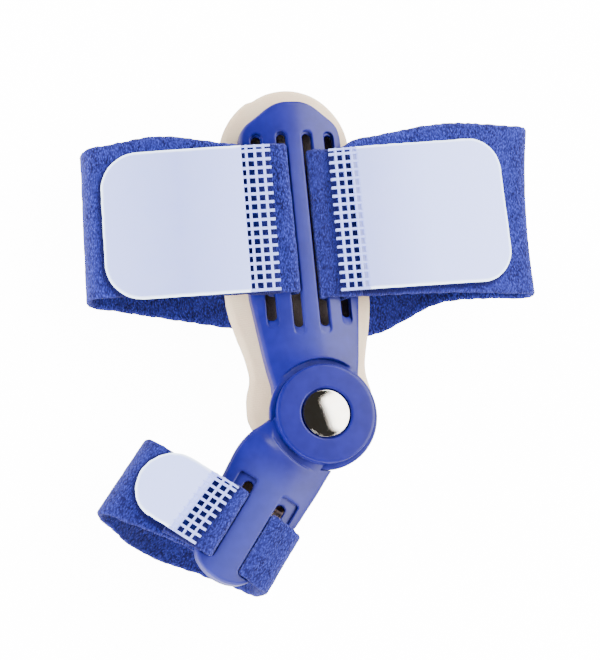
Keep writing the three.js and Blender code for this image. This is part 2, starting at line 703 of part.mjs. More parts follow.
const bluePlastic = () => finish(0x3348b0, 0.28, 0);
const loopFabric = () => finish(0x2f3fae, 0.95, 0);
const hookPlastic = () => finish(0xd4d8ea, 0.45, 0);
const padSuede = () => finish(0xe0d6c6, 0.95, 0);
const rivetMetal = () => finish(0xc9c5bd, 0.15, 1);

function piece(name, geometry, material) {
  const mesh = new THREE.Mesh(geometry, material);
  mesh.name = name;
  return mesh;
}

// Sets a flat tab on the strap end it is welded to: it slopes down outward and follows the run
function placeTab(mesh, side, out, middle, up, place) {
  mesh.rotation.order = 'ZYX';
  mesh.rotation.set(0, place.slope, side > 0 ? place.turn : Math.PI - place.turn);
  mesh.position.set(out, middle + place.shift, up + place.raise);
  return mesh;
}

const tabLie = strapHalf + CLEARANCE + TAB_THICKNESS / 2;
const returnHigh = railLie + layer + CLEARANCE / 2;
const toeStrapMiddle = -0.738 * ARM_LENGTH;

const footSide = new THREE.Group();
footSide.add(piece('foot_plate', footPlate(), bluePlastic()));
footSide.add(piece('foot_pad', footPad(), padSuede()));
footSide.add(piece('foot_strap', footStrap(), loopFabric()));
footSide.add(piece('hinge_rivet', hingeRivet(), rivetMetal()));
const leftTab = hookTab(FOOT_TAB_LEFT_LENGTH, FOOT_TAB_WIDTH, TAB_CORNER, FOOT_GRID_COLUMNS);
footSide.add(placeTab(piece('foot_tab_left', leftTab, hookPlastic()), -1,
  PLATE_OFFSET - FOOT_TAB_OUT, LEFT_MIDDLE, returnHigh + tabLie, LEFT_TAB_PLACE));
const rightTab = hookTab(FOOT_TAB_RIGHT_LENGTH, FOOT_TAB_WIDTH, TAB_CORNER, FOOT_GRID_COLUMNS);
footSide.add(placeTab(piece('foot_tab_right', rightTab, hookPlastic()), 1,
  PLATE_OFFSET + FOOT_TAB_OUT, RIGHT_MIDDLE, returnHigh + tabLie, RIGHT_TAB_PLACE));

const toeSide = new THREE.Group();
toeSide.rotation.z = ARM_TURN;
toeSide.add(piece('toe_arm', toeArm(), bluePlastic()));
toeSide.add(piece('toe_pad', toePad(), padSuede()));
toeSide.add(piece('toe_strap', toeStrap(), loopFabric()));
const toeTab = hookTab(TOE_TAB_LENGTH, TOE_TAB_WIDTH, TOE_TAB_WIDTH / 2, TOE_GRID_COLUMNS);
toeSide.add(placeTab(piece('toe_tab', toeTab, hookPlastic()), -1,
  ARM_OFFSET - TOE_TAB_OUT, toeStrapMiddle, strapHalf + CLEARANCE, TOE_TAB_PLACE));

const splint = new THREE.Group();
splint.add(footSide, toeSide);
splint.updateMatrixWorld(true);
const bounds = new THREE.Box3().setFromObject(splint, true);
const centre = bounds.getCenter(new THREE.Vector3());
splint.position.set(-centre.x, -centre.y, -bounds.min.z);
splint.updateMatrixWorld(true);

export default splint;
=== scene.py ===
"""Looks of a hinged bunion splint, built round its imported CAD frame.

The plastic plate and toe arm, the foam pads, the loop-pile straps, the pierced hook tabs and the
rivet are each a piece of their own. Lengths are in millimetres about the hinge axis, at the height
of the plate's crown, until a mesh is written in metres in the frame's own place.
"""

import enum
import json
import logging
import math
from dataclasses import dataclass, field
from typing import Callable, Sequence

import bpy
import numpy as np
from mathutils import Matrix, Vector

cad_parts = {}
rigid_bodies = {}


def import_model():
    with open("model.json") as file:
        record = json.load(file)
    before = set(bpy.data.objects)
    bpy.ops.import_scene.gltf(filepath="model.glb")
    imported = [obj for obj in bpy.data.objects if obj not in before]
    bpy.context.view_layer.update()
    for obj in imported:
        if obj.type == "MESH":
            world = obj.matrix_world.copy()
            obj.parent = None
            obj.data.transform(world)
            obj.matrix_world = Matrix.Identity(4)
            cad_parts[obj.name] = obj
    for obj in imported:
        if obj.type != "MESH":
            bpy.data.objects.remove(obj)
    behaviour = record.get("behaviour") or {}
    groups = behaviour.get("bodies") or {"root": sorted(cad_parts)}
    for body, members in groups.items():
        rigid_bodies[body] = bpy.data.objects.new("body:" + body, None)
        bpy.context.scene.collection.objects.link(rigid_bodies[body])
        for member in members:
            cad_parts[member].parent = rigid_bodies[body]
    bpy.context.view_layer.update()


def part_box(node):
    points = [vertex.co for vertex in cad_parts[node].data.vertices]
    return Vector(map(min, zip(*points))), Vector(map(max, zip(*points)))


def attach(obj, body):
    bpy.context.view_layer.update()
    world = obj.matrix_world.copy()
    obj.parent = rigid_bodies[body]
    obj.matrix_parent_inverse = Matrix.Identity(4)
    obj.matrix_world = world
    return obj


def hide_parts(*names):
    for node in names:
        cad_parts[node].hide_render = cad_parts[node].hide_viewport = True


LOG = logging.getLogger("bunion_splint")
MM = 0.001
ORIGIN = Vector((0.0, 0.0, 0.0))

Array = np.ndarray
Field = Callable[[Array], Array]
Colour = tuple[float, float, float]


class Body(enum.Enum):
    """Rigid bodies of the frame."""

    FOOT = "foot_side"
    TOE = "toe_side"


class Slot(enum.Enum):
    """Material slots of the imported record."""

    PLASTIC = "blue_plastic"
    FABRIC = "strap_fabric"
    TAB = "hook_tab"
    PAD = "pad_foam"
    RIVET = "rivet_metal"


# Sizes of the CAD part, in millimetres


@dataclass(frozen=True)
class PlateSize:
    """Named sizes of the foot plate, as the CAD has them."""

    length: float = 107.9
    width: float = 36.8
    offset: float = -1.2
    wall: float = 2.2
    rim: float = 2.2
    crown_radius: float = 30.0
    toe_end: float = 8.0
    slot_width: float = 3.2
    ledge: float = 1.2
    slot_inner: float = 4.35
    slot_outer: float = 12.4
    slot_inner_start: float = 27.4
    slot_outer_start: float = 30.4
    slot_end: float = 95.3


@dataclass(frozen=True)
class HingeSize:
    """Named sizes of the hinge, as the CAD has them."""

    disc_radius: float = 16.2
    disc_top: float = 0.8
    disc_bottom: float = -2.2
    base_radius: float = 17.9
    base_top: float = -2.5
    base_bottom: float = -5.1
    lip_radius: float = 18.3
    lip_wall: float = 2.0
    cap_radius: float = 7.7
    cap_height: float = 2.1
    cap_skirt: float = 0.9
    shank: float = 3.0
    tail_radius: float = 5.5
    tail_thickness: float = 0.8
    seat: float = -0.4
    cap_low: float = -0.1
    cap_over_crown: float = 2.9


@dataclass(frozen=True)
class ArmSize:
    """Named sizes of the toe arm, as the CAD has them."""

    turn: float = math.radians(-36.5)
    length: float = 64.1
    width: float = 30.4
    offset: float = -2.8
    wall: float = 2.8
    rim: float = 2.2
    rim_bottom: float = -6.6
    crown_radius: float = 30.0
    groove_width: float = 2.4
    groove_depth: float = 1.1
    bar_width: float = 9.4
    slot_width: float = 3.2
    slot_start: float = 31.8
    slot_end: float = 59.0
    pocket_width: float = 6.2
    pocket_depth: float = 1.1
    pocket_start: float = 30.2


@dataclass(frozen=True)
class PadSize:
    """Named sizes of the foam pad behind the plate."""

    crown: float = -7.1
    crown_radius: float = 42.0
    thickness: float = 4.0
    width: float = 49.2
    end: float = 112.5
    round_start: float = 92.8
    lobe_width: float = 42.8
    lobe_reach: float = 12.0
    lobe_centre: float = 3.24


@dataclass(frozen=True)
class StrapSize:
    """Named sizes of the straps and of the loops that they lie in."""

    thickness: float = 1.8
    foot_width: float = 50.0
    toe_width: float = 24.0
    depth: float = 33.1
    foot_left: float = 70.1
    foot_right: float = 80.6
    toe_left: float = 43.6
    toe_right: float = 13.1


PLATE = PlateSize()
HINGE = HingeSize()
ARM = ArmSize()
PAD = PadSize()
STRAP = StrapSize()
CLEARANCE = 0.3

# Half widths along the plate and the pad, as shares of the length and of half the width
PLATE_OUTLINE = (
    (0.10, 0.770),
    (0.165, 0.838),
    (0.25, 0.905),
    (0.33, 0.962),
    (0.39, 1.000),
    (0.60, 0.985),
    (0.87, 0.945),
)
PLATE_HEEL = (
    (0.948, 0.858),
    (0.940, 0.888),
    (0.868, 0.918),
    (0.640, 0.942),
    (0.390, 0.973),
    (0.190, 0.984),
    (0.000, 0.984),
)
PAD_OUTLINE = (
    (0.03, 0.872),
    (0.08, 0.860),
    (0.14, 0.803),
    (0.20, 0.835),
    (0.30, 0.945),
    (0.39, 1.000),
    (0.60, 0.960),
    (0.86, 0.885),
)

# Edges of the toe arm: share of its length, then left and right as shares of half its width
ARM_OUTLINE = (
    (0.14, 0.72, 1.02),
    (0.21, 0.83, 0.96),
    (0.27, 0.95, 0.95),
    (0.36, 1.02, 0.95),
    (0.47, 1.00, 0.93),
    (0.56, 0.96, 0.91),
    (0.80, 0.80, 0.76),
    (0.88, 0.73, 0.68),
)

# Rows of a strap: out and down as shares of the loop, bend of its depth, middle of the length that
# carries it, width of the strap's width, slant of half that width, and a hollow edge's depth
FOOT_LOOP = (
    (-0.314, 0.103, 0.91, 0.621, 1.03, 0.0),
    (-0.642, 0.242, 1.80, 0.649, 1.09, 0.02),
    (-1.0, 0.399, 0.139, 0.648, 1.02, 0.03),
    (-1.0, 0.743, 0.157, 0.648, 1.04, 0.03),
    (-0.628, 1.0, 1.80, 0.628, 1.08, 0.0),
    (-0.228, 1.0, 1.80, 0.580, 1.08, 0.0),
    (0.335, 1.0, 0.79, 0.552, 1.12, 0.0),
    (0.633, 0.619, 1.21, 0.639, 1.18, 0.03),
    (1.012, 0.411, 0.085, 0.629, 1.19, 0.07, 1.6),
    (1.012, 0.230, 0.085, 0.629, 1.19, 0.07, 1.6),
    (0.645, 0.157, 1.80, 0.639, 1.19, 0.04),
    (0.248, 0.100, 0.91, 0.612, 1.08, 0.0),
)
TOE_END = (
    (-0.564, 0.142, 0.06, -0.749, 1.0, 0.0),
    (-0.385, 0.051, 0.18, -0.743, 1.0, 0.0),
    (-0.307, 0.012, 0.12, -0.739, 1.0, 0.0),
)
TOE_LOOP = (
    (-0.298, 0.2145, 0.09, -0.739, 1.0, 0.0),
    (-0.427, 0.248, 0.30, -0.746, 1.01, 0.0),
    (-1.0, 0.326, 0.139, -0.774, 1.18, 0.02),
    (-1.0, 0.650, 0.196, -0.780, 1.18, 0.02),
    (-0.573, 1.0, 0.66, -0.796, 1.12, 0.0),
    (0.153, 1.0, 0.36, -0.736, 1.0, 0.0),
    (1.0, 0.665, 0.36, -0.743, 0.94, 0.0),
    (1.0, 0.073, 0.097, -0.758, 0.91, 0.0),
)
TOE_INNER = ((0.504, 0.175, 0.06, -0.757, 0.92, 0.0),)


# Numbers along tables, noise and rounded joins


def lookup(rows: Sequence[Sequence[float]], column: int, along: Array) -> Array:
    """Value of a table's column at each place, on a smooth curve through its rows.

    Args:
        rows: Rows whose first entry is the place.
        column: Which entry to read.
        along: Places to read at.

    Returns:
        One value for each place.
    """
    table = np.array(rows, float)
    place, value = table[:, 0], table[:, column]
    slope = np.empty_like(value)
    slope[1:-1] = (value[2:] - value[:-2]) / (place[2:] - place[:-2])
    slope[0] = (value[1] - value[0]) / (place[1] - place[0])
    slope[-1] = (value[-1] - value[-2]) / (place[-1] - place[-2])
    at = np.clip(np.asarray(along, float), place[0], place[-1])
    i = np.clip(np.searchsorted(place, at, side="right") - 1, 0, len(place) - 2)
    span = place[i + 1] - place[i]
    t = (at - place[i]) / span
    start = value[i] * (1 + 2 * t) * (1 - t) ** 2 + slope[i] * span * t * (1 - t) ** 2
    end = value[i + 1] * t**2 * (3 - 2 * t) - slope[i + 1] * span * t**2 * (1 - t)
    return start + end


def both(a: Array, b: Array, radius: float = 0.0) -> Array:
    """Distance to what two solids share, with the edge between them rounded.

    Args:
        a, b: Distances to the two solids.
        radius: Radius of the edge.

    Returns:
        The distance, less than nothing inside.
    """
    if radius <= 0:
        return np.maximum(a, b)
    over = np.hypot(np.maximum(radius + a, 0), np.maximum(radius + b, 0))
    return np.minimum(-radius, np.maximum(a, b)) + over


def either(a: Array, b: Array, radius: float = 0.0) -> Array:
    """Distance to two solids joined, with the corner between them filled round."""
    return -both(-a, -b, radius)


def without(a: Array, b: Array, radius: float = 0.0) -> Array:
    """Distance to one solid with another cut out of it, the cut's edge rounded."""
    return both(a, -b, radius)


class ValueNoise:
    """Smooth repeatable noise on a lattice, for surfaces that aren't quite even."""

    def __init__(self, seed: int, size: int = 64) -> None:
        """Fills the lattice from its seed."""
        self.size = size
        self.table = np.random.default_rng(seed).uniform(-1, 1, (size, size, size))

    def __call__(self, points: Array, pitch: float) -> Array:
        """Noise from -1 to 1 at each point, with cells of the given pitch.

        Args:
            points: Where to read it.
            pitch: Width of a cell.

        Returns:
            One value for each point.
        """
        scaled = np.asarray(points, float) / pitch
        low = np.floor(scaled).astype(int)
        part = scaled - low
        part = part * part * (3 - 2 * part)
        total = np.zeros(len(scaled))
        for corner in range(8):
            step = np.array([corner & 1, (corner >> 1) & 1, (corner >> 2) & 1])
            weight = np.prod(np.where(step, part, 1 - part), axis=1)
            at = (low + step) % self.size
            total += weight * self.table[at[:, 0], at[:, 1], at[:, 2]]
        return total


class PlanDistance:
    """Distance to a closed outline in plan, kept on a fine grid and read between its points."""

    def __init__(self, outline: Array, margin: float = 4.0, step: float = 0.25) -> None:
        """Measures the grid.

        Args:
            outline: Corner points in order.
            margin: How far the grid goes beyond them.
            step: Width of a grid cell.
        """
        self.low = outline.min(0) - margin
        high = outline.max(0) + margin
        self.step = step
        xs = np.arange(self.low[0], high[0] + step, step)
        ys = np.arange(self.low[1], high[1] + step, step)
        grid = np.stack(np.meshgrid(xs, ys, indexing="ij"), -1).reshape(-1, 2)
        nearest = np.full(len(grid), 1e9)
        inside = np.zeros(len(grid), bool)
        for a, b in zip(outline, np.roll(outline, -1, axis=0)):
            edge = b - a
            offset = grid - a
            share = np.clip(offset @ edge / max(edge @ edge, 1e-12), 0, 1)
            nearest = np.minimum(nearest, ((offset - share[:, None] * edge) ** 2).sum(1))
            crosses = (a[1] > grid[:, 1]) != (b[1] > grid[:, 1])
            if abs(edge[1]) > 1e-12:
                at = a[0] + (grid[:, 1] - a[1]) * edge[0] / edge[1]
                inside ^= crosses & (grid[:, 0] < at)
        signed = np.sqrt(nearest) * np.where(inside, -1, 1)
        self.values = signed.reshape(len(xs), len(ys))

    def __call__(self, x: Array, y: Array) -> Array:
        """Distance at each place, less than nothing inside.

        Args:
            x, y: Places across and along.

        Returns:
            One distance for each place.
        """
        u = np.clip((x - self.low[0]) / self.step, 0, self.values.shape[0] - 1.001)
        v = np.clip((y - self.low[1]) / self.step, 0, self.values.shape[1] - 1.001)
        i, j = u.astype(int), v.astype(int)
        s, t = u - i, v - j
        grid = self.values
        near = grid[i, j] * (1 - s) + grid[i + 1, j] * s
        far = grid[i, j + 1] * (1 - s) + grid[i + 1, j + 1] * s
        return near * (1 - t) + far * t


def disc(x: Array, y: Array, radius: float) -> Array:
    """Distance in plan to a disc about the hinge axis."""
    return np.hypot(x, y) - radius


def box(x: Array, y: Array, centre: Sequence[float], half: Sequence[float], corner: float) -> Array:
    """Distance in plan to a rectangle with round corners.

    Args:
        x, y: Places across and along.
        centre: Its middle.
        half: Half its sides.
        corner: Radius of its corners.

    Returns:
        One distance for each place.
    """
    dx = np.abs(x - centre[0]) - (half[0] - corner)
    dy = np.abs(y - centre[1]) - (half[1] - corner)
    outside = np.hypot(np.maximum(dx, 0), np.maximum(dy, 0))
    return outside + np.minimum(np.maximum(dx, dy), 0) - corner


def slot_plan(x: Array, y: Array, at: float, start: float, end: float, width: float) -> Array:
    """Distance in plan to a slot with round ends that runs along Y.

    Args:
        x, y: Places across and along.
        at: Its middle line.
        start, end: Its ends.
        width: Its width.

    Returns:
        One distance for each place.
    """
    middle = (start + end) / 2
    half = (abs(end - start) / 2, width / 2)
    return box(x, y, (at, middle), (half[1], half[0]), half[1] - 0.01)


def barrel(x: Array, z: Array, centre: float, crown: float, radius: float) -> Array:
    """Distance to a round bar along Y whose top line is at the given crown."""
    return np.hypot(x - centre, z - crown + radius) - radius


# Meshes


@dataclass
class Surface:
    """A closed mesh: points in millimetres and faces with their normals outward."""

    points: Array
    faces: list[tuple[int, ...]] | Array
    uv: Array | None = None

    def turned(self, angle: float) -> "Surface":
        """The same mesh turned about the hinge axis.

        Args:
            angle: Turn in radians.

        Returns:
            The new mesh.
        """
        c, s = math.cos(angle), math.sin(angle)
        turn = np.array([[c, -s, 0], [s, c, 0], [0, 0, 1]])
        return Surface(self.points @ turn.T, self.faces, self.uv)


def surface_of(solid: Field, low: Sequence[float], high: Sequence[float], step: float) -> Surface:
    """Mesh of the surface where a distance field is zero.

    Args:
        solid: Gives the distance for an array of points, less than nothing inside.
        low: Lowest corner of the space that holds the solid.
        high: Highest corner.
        step: Width of a mesh cell.

    Returns:
        The mesh, its points drawn onto the exact surface.
    """
    axes = [np.arange(a, b + step, step) for a, b in zip(low, high)]
    shape = [len(a) for a in axes]
    values = np.empty(shape, np.float32)
    for k, z in enumerate(axes[2]):
        x, y = np.meshgrid(axes[0], axes[1], indexing="ij")
        plane = np.stack([x, y, np.full_like(x, z)], -1).reshape(-1, 3)
        values[:, :, k] = solid(plane).reshape(shape[0], shape[1])
    inside = values < 0
    strides = np.array([shape[1] * shape[2], shape[2], 1])
    cells, sums, quads = [], [], []
    for axis in range(3):
        near = np.take(inside, range(shape[axis] - 1), axis)
        far = np.take(inside, range(1, shape[axis]), axis)
        at = np.argwhere(near != far)
        step_along = np.zeros(3, int)
        step_along[axis] = 1
        here = values[tuple(at.T)]
        there = values[tuple((at + step_along).T)]
        crossing = at.astype(float)
        crossing[:, axis] += here / (here - there)
        u, v = (axis + 1) % 3, (axis + 2) % 3
        ring = []
        for du, dv in ((-1, -1), (0, -1), (0, 0), (-1, 0)):
            cell = at.copy()
            cell[:, u] += du
            cell[:, v] += dv
            ring.append(cell @ strides)
            sums.append(crossing)
        ring = np.stack(ring, 1)
        cells.extend(ring.T)
        flip = here > 0
        ring[flip] = ring[flip][:, ::-1]
        quads.append(ring)
    every = np.concatenate(cells)
    unique, index = np.unique(every, return_inverse=True)
    count = np.bincount(index)
    stacked = np.concatenate(sums)
    points = np.stack([np.bincount(index, stacked[:, k]) / count for k in range(3)], 1)
    points = points * step + np.array(low)
    faces = np.searchsorted(unique, np.concatenate(quads))
    return Surface(drawn_on(solid, points, step), faces)


def drawn_on(solid: Field, points: Array, step: float) -> Array:
    """Points moved along the field's slope until they lie on its zero surface.

    Args:
        solid: The distance field.
        points: Points near its surface.
        step: Width of a mesh cell.

    Returns:
        The moved points.
    """
    reach = 0.04
    for _ in range(4):
        slope = np.empty_like(points)
        for k in range(3):
            shift = np.zeros(3)
            shift[k] = reach
            slope[:, k] = (solid(points + shift) - solid(points - shift)) / (2 * reach)
        size = np.maximum((slope**2).sum(1), 0.3)
        move = -(solid(points) / size)[:, None] * slope
        length = np.linalg.norm(move, axis=1, keepdims=True)
        points = points + move * np.minimum(1, 0.4 * step / np.maximum(length, 1e-9))
    return points


def write_object(
    name: str, surface: Surface, place: Vector, smooth: bool = True
) -> bpy.types.Object:
    """Makes a Blender object of a mesh, in metres and in the frame's own place.

    Args:
        name: Name of the object and of its mesh.
        surface: The mesh in millimetres about the hinge axis.
        place: Where the hinge axis meets the plate's crown, in metres.
        smooth: Whether its faces are shaded smooth.

    Returns:
        The object, linked to the scene and at the origin.
    """
    mesh = bpy.data.meshes.new(name)
    points = np.asarray(surface.points) * MM + np.array(place)
    mesh.from_pydata(points.tolist(), [], [tuple(int(i) for i in f) for f in surface.faces])
    if surface.uv is not None:
        layer = mesh.uv_layers.new(name="run")
        corner = np.empty(len(mesh.loops), np.int32)
        mesh.loops.foreach_get("vertex_index", corner)
        layer.data.foreach_set("uv", surface.uv[corner].astype(np.float32).ravel())
    mesh.polygons.foreach_set("use_smooth", [smooth] * len(mesh.polygons))
    mesh.update()
    made = bpy.data.objects.new(name, mesh)
    bpy.context.scene.collection.objects.link(made)
    return made


def add_mask(made: bpy.types.Object, name: str, values: Array) -> None:
    """Gives an object one number at each vertex, which its finish reads by name."""
    mask = made.data.attributes.new(name, "FLOAT", "POINT")
    mask.data.foreach_set("value", np.clip(values, 0, 1).astype(np.float32))


# Shader node helpers


class Nodes:
    """Adds and joins the nodes of one tree with few words."""

    def __init__(self, tree: bpy.types.NodeTree) -> None:
        """Keeps the tree to add to."""
        self.tree = tree

    def add(self, kind: str, **values: object) -> bpy.types.Node:
        """A node of the kind, with its properties set; a name with a digit sets that input.

        Args:
            kind: The node's type.
            values: Properties, and inputs by name or number after in_.

        Returns:
            The node.
        """
        node = self.tree.nodes.new(kind)
        for key, value in values.items():
            if key.startswith("in_"):
                self.put(node.inputs[self.key_of(key[3:])], value)
            else:
                setattr(node, key, value)
        return node

    @staticmethod
    def key_of(text: str) -> int | str:
        """The socket's index, or its name with spaces for underscores."""
        return int(text) if text.isdigit() else text.replace("_", " ")

    def put(self, socket: bpy.types.NodeSocket, value: object) -> None:
        """Joins an output to a socket, or sets the socket's value.

        Args:
            socket: The input.
            value: An output or a value.
        """
        if isinstance(value, bpy.types.NodeSocket):
            self.tree.links.new(value, socket)
        else:
            socket.default_value = value

    def fill(self, node: bpy.types.Node, **values: object) -> None:
        """Sets or joins a node's inputs by name, with underscores for spaces."""
        for key, value in values.items():
            self.put(node.inputs[self.key_of(key)], value)

    def place(self) -> bpy.types.NodeSocket:
        """Place in the object's own space."""
        return self.add("ShaderNodeTexCoord").outputs["Object"]

    def attribute(self, name: str) -> bpy.types.NodeSocket:
        """A mask that the mesh carries."""
        return self.add("ShaderNodeAttribute", attribute_name=name).outputs["Fac"]

    def math(
        self, operation: str, a: object, b: object = 0.0, c: object = None, clamp: bool = False
    ) -> bpy.types.NodeSocket:
        """One sum of two or three values.

        Args:
            operation: The sum's name.
            a, b, c: The values, c where the sum has three.
            clamp: Whether it stays from 0 to 1.

        Returns:
            Its output.
        """
        node = self.add("ShaderNodeMath", operation=operation, use_clamp=clamp, in_0=a, in_1=b)
        if c is not None:
            self.put(node.inputs[2], c)
        return node.outputs[0]

    def mix(self, factor: object, a: object, b: object) -> bpy.types.NodeSocket:
        """A colour between two colours.

        Args:
            factor: 0 for the first, 1 for the second.
            a, b: The two colours.

        Returns:
            Its output.
        """
        node = self.add("ShaderNodeMix", data_type="RGBA")
        self.put(node.inputs[0], factor)
        for index, colour in ((6, a), (7, b)):
            self.put(node.inputs[index], (*colour, 1.0) if isinstance(colour, tuple) else colour)
        return node.outputs[2]

    def ramp(self, value: object, low: float, high: float) -> bpy.types.NodeSocket:
        """A value spread so that low becomes 0 and high becomes 1.

        Args:
            value: The value.
            low, high: What becomes 0 and 1.

        Returns:
            Its output.
        """
        node = self.add("ShaderNodeMapRange", clamp=True, in_Value=value)
        self.fill(node, From_Min=low, From_Max=high)
        return node.outputs[0]

    def noise(
        self, vector: object, scale: float, detail: float = 3.0, rough: float = 0.5
    ) -> bpy.types.NodeSocket:
        """A noise value over a vector.

        Args:
            vector: Where it is read.
            scale: Its scale.
            detail: Its layers.
            rough: How much the fine layers count.

        Returns:
            Its output.
        """
        node = self.add("ShaderNodeTexNoise")
        self.fill(node, Vector=vector, Scale=scale, Detail=detail, Roughness=rough)
        return node.outputs[0]


def new_group(
    name: str, vector: str, amount: tuple[str, float], outputs: Sequence[str]
) -> tuple[bpy.types.NodeTree, Nodes, bpy.types.Node, bpy.types.Node]:
    """An empty shader group that is given a vector and an amount.

    Args:
        name: The group's name.
        vector: Name of the vector.
        amount: Name and start value of the amount.
        outputs: Name of each output.

    Returns:
        The group, its node helper, and its input and output nodes.
    """
    tree = bpy.data.node_groups.new(name, "ShaderNodeTree")
    sockets = tree.interface
    sockets.new_socket(vector, in_out="INPUT", socket_type="NodeSocketVector")
    start = sockets.new_socket(amount[0], in_out="INPUT", socket_type="NodeSocketFloat")
    start.default_value = amount[1]
    for label in outputs:
        sockets.new_socket(label, in_out="OUTPUT", socket_type="NodeSocketFloat")
    nodes = Nodes(tree)
    return tree, nodes, nodes.add("NodeGroupInput"), nodes.add("NodeGroupOutput")


@dataclass
class Effects:
    """Shared shader groups: colours, masks and heights that several finishes use."""

    grain: bpy.types.NodeTree = field(init=False)
    wear: bpy.types.NodeTree = field(init=False)
    pile: bpy.types.NodeTree = field(init=False)

    def __post_init__(self) -> None:
        """Makes each of them once."""
        self.grain = self._grain()
        self.wear = self._wear()
        self.pile = self._pile()

    @staticmethod
    def _grain() -> bpy.types.NodeTree:
        """Fine relief and a coarse mottle.

        Returns:
            The group.
        """
        tree, nodes, given, out = new_group(
            "fine_grain", "Vector", ("Scale", 1.0), ("Height", "Mottle")
        )
        scaled = nodes.add("ShaderNodeVectorMath", operation="SCALE", in_0=given.outputs[0])
        nodes.put(scaled.inputs["Scale"], given.outputs[1])
        fine = nodes.noise(scaled.outputs[0], 9.0, 4.0, 0.6)
        coarse = nodes.noise(scaled.outputs[0], 0.8, 2.0)
        nodes.put(out.inputs[0], fine)
        nodes.put(out.inputs[1], coarse)
        return tree

    @staticmethod
    def _wear() -> bpy.types.NodeTree:
        """Masks of dust specks and of scuffs.

        Returns:
            The group.
        """
        tree, nodes, given, out = new_group(
            "dust_and_scuffs", "Vector", ("Amount", 0.5), ("Dust", "Scuff")
        )
        specks = nodes.add("ShaderNodeTexVoronoi", in_Vector=given.outputs[0], in_Scale=900.0)
        dots = nodes.ramp(specks.outputs[0], 0.12, 0.04)
        patch = nodes.ramp(nodes.noise(given.outputs[0], 60.0), 0.52, 0.7)
        dust = nodes.math("MULTIPLY", dots, patch)
        nodes.put(out.inputs[0], nodes.math("MULTIPLY", dust, given.outputs[1]))
        stretch = nodes.add("ShaderNodeMapping")
        nodes.fill(stretch, Vector=given.outputs[0], Scale=(4.0, 0.25, 1.0))
        lines = nodes.ramp(nodes.noise(stretch.outputs[0], 900.0, 2.0), 0.66, 0.8)
        nodes.put(out.inputs[1], nodes.math("MULTIPLY", lines, given.outputs[1]))
        return tree

    @staticmethod
    def _pile() -> bpy.types.NodeTree:
        """Height, flecks and slow drift of loops laid one way; the flecks, dark in the pile's low
        places and light on its raised loops, are painted shade and highlight.

        Returns:
            The group.
        """
        tree, nodes, given, out = new_group(
            "loop_pile", "Run", ("Pitch", 1.0), ("Height", "Flecks", "Drift")
        )
        scaled = nodes.add("ShaderNodeVectorMath", operation="SCALE", in_0=given.outputs[0])
        nodes.put(scaled.inputs["Scale"], given.outputs[1])
        warp = nodes.noise(scaled.outputs[0], 0.35, 2.0)
        bent = nodes.add("ShaderNodeVectorMath", operation="ADD", in_0=scaled.outputs[0], in_1=warp)
        strokes = nodes.add("ShaderNodeMapping")
        nodes.fill(
            strokes, Vector=bent.outputs[0], Scale=(1.5, 0.62, 1.0), Rotation=(0.0, 0.0, 0.3)
        )
        first = nodes.noise(strokes.outputs[0], 1.15, 3.0, 0.62)
        cells = nodes.add("ShaderNodeTexVoronoi", in_Vector=strokes.outputs[0], in_Scale=1.3)
        loops = nodes.ramp(cells.outputs[0], 0.75, 0.1)
        raised = nodes.math("MULTIPLY", loops, 0.45)
        height = nodes.math("ADD", nodes.math("MULTIPLY", first, 0.7), raised)
        nodes.put(out.inputs[0], height)
        # flecks follow the height: painted shade in the low places, painted highlight on the raised
        # loops
        nodes.put(out.inputs[1], nodes.ramp(height, 0.38, 0.85))
        nodes.put(out.inputs[2], nodes.noise(scaled.outputs[0], 0.12, 2.0))
        return tree


# Finishes


@dataclass(frozen=True)
class Finish:
    """A material that a piece is given."""

    name: str
    colour: Colour
    effects: Effects

    def start(self) -> tuple[bpy.types.Material, Nodes, bpy.types.Node]:
        """A new material with its Principled shader and its node helper.

        Returns:
            The material, the helper and the shader.
        """
        material = bpy.data.materials.new(self.name)
        material.use_nodes = True
        nodes = Nodes(material.node_tree)
        shader = material.node_tree.nodes["Principled BSDF"]
        shader.inputs["Base Color"].default_value = (*self.colour, 1.0)
        return material, nodes, shader

    @staticmethod
    def bumped(
        nodes: Nodes,
        shader: bpy.types.Node,
        height: bpy.types.NodeSocket,
        distance: float,
        strength: float,
    ) -> None:
        """Joins a height to the shader's normal."""
        bump = nodes.add("ShaderNodeBump")
        nodes.fill(bump, Height=height, Distance=distance, Strength=strength)
        nodes.put(shader.inputs["Normal"], bump.outputs[0])

    def toned(self, red: float, green: float, blue: float) -> Colour:
        """The finish's colour with each part scaled, to 1 at most."""
        return tuple(min(1.0, c * f) for c, f in zip(self.colour, (red, green, blue)))

    def group(
        self, nodes: Nodes, tree: bpy.types.NodeTree, vector: bpy.types.NodeSocket, amount: float
    ) -> bpy.types.Node:
        """A use of a shared group, with its vector and its amount.

        Args:
            nodes: The material's nodes.
            tree: The group.
            vector: Its first input.
            amount: Its second input.

        Returns:
            The node.
        """
        node = nodes.add("ShaderNodeGroup", node_tree=tree)
        nodes.put(node.inputs[0], vector)
        node.inputs[1].default_value = amount
        return node


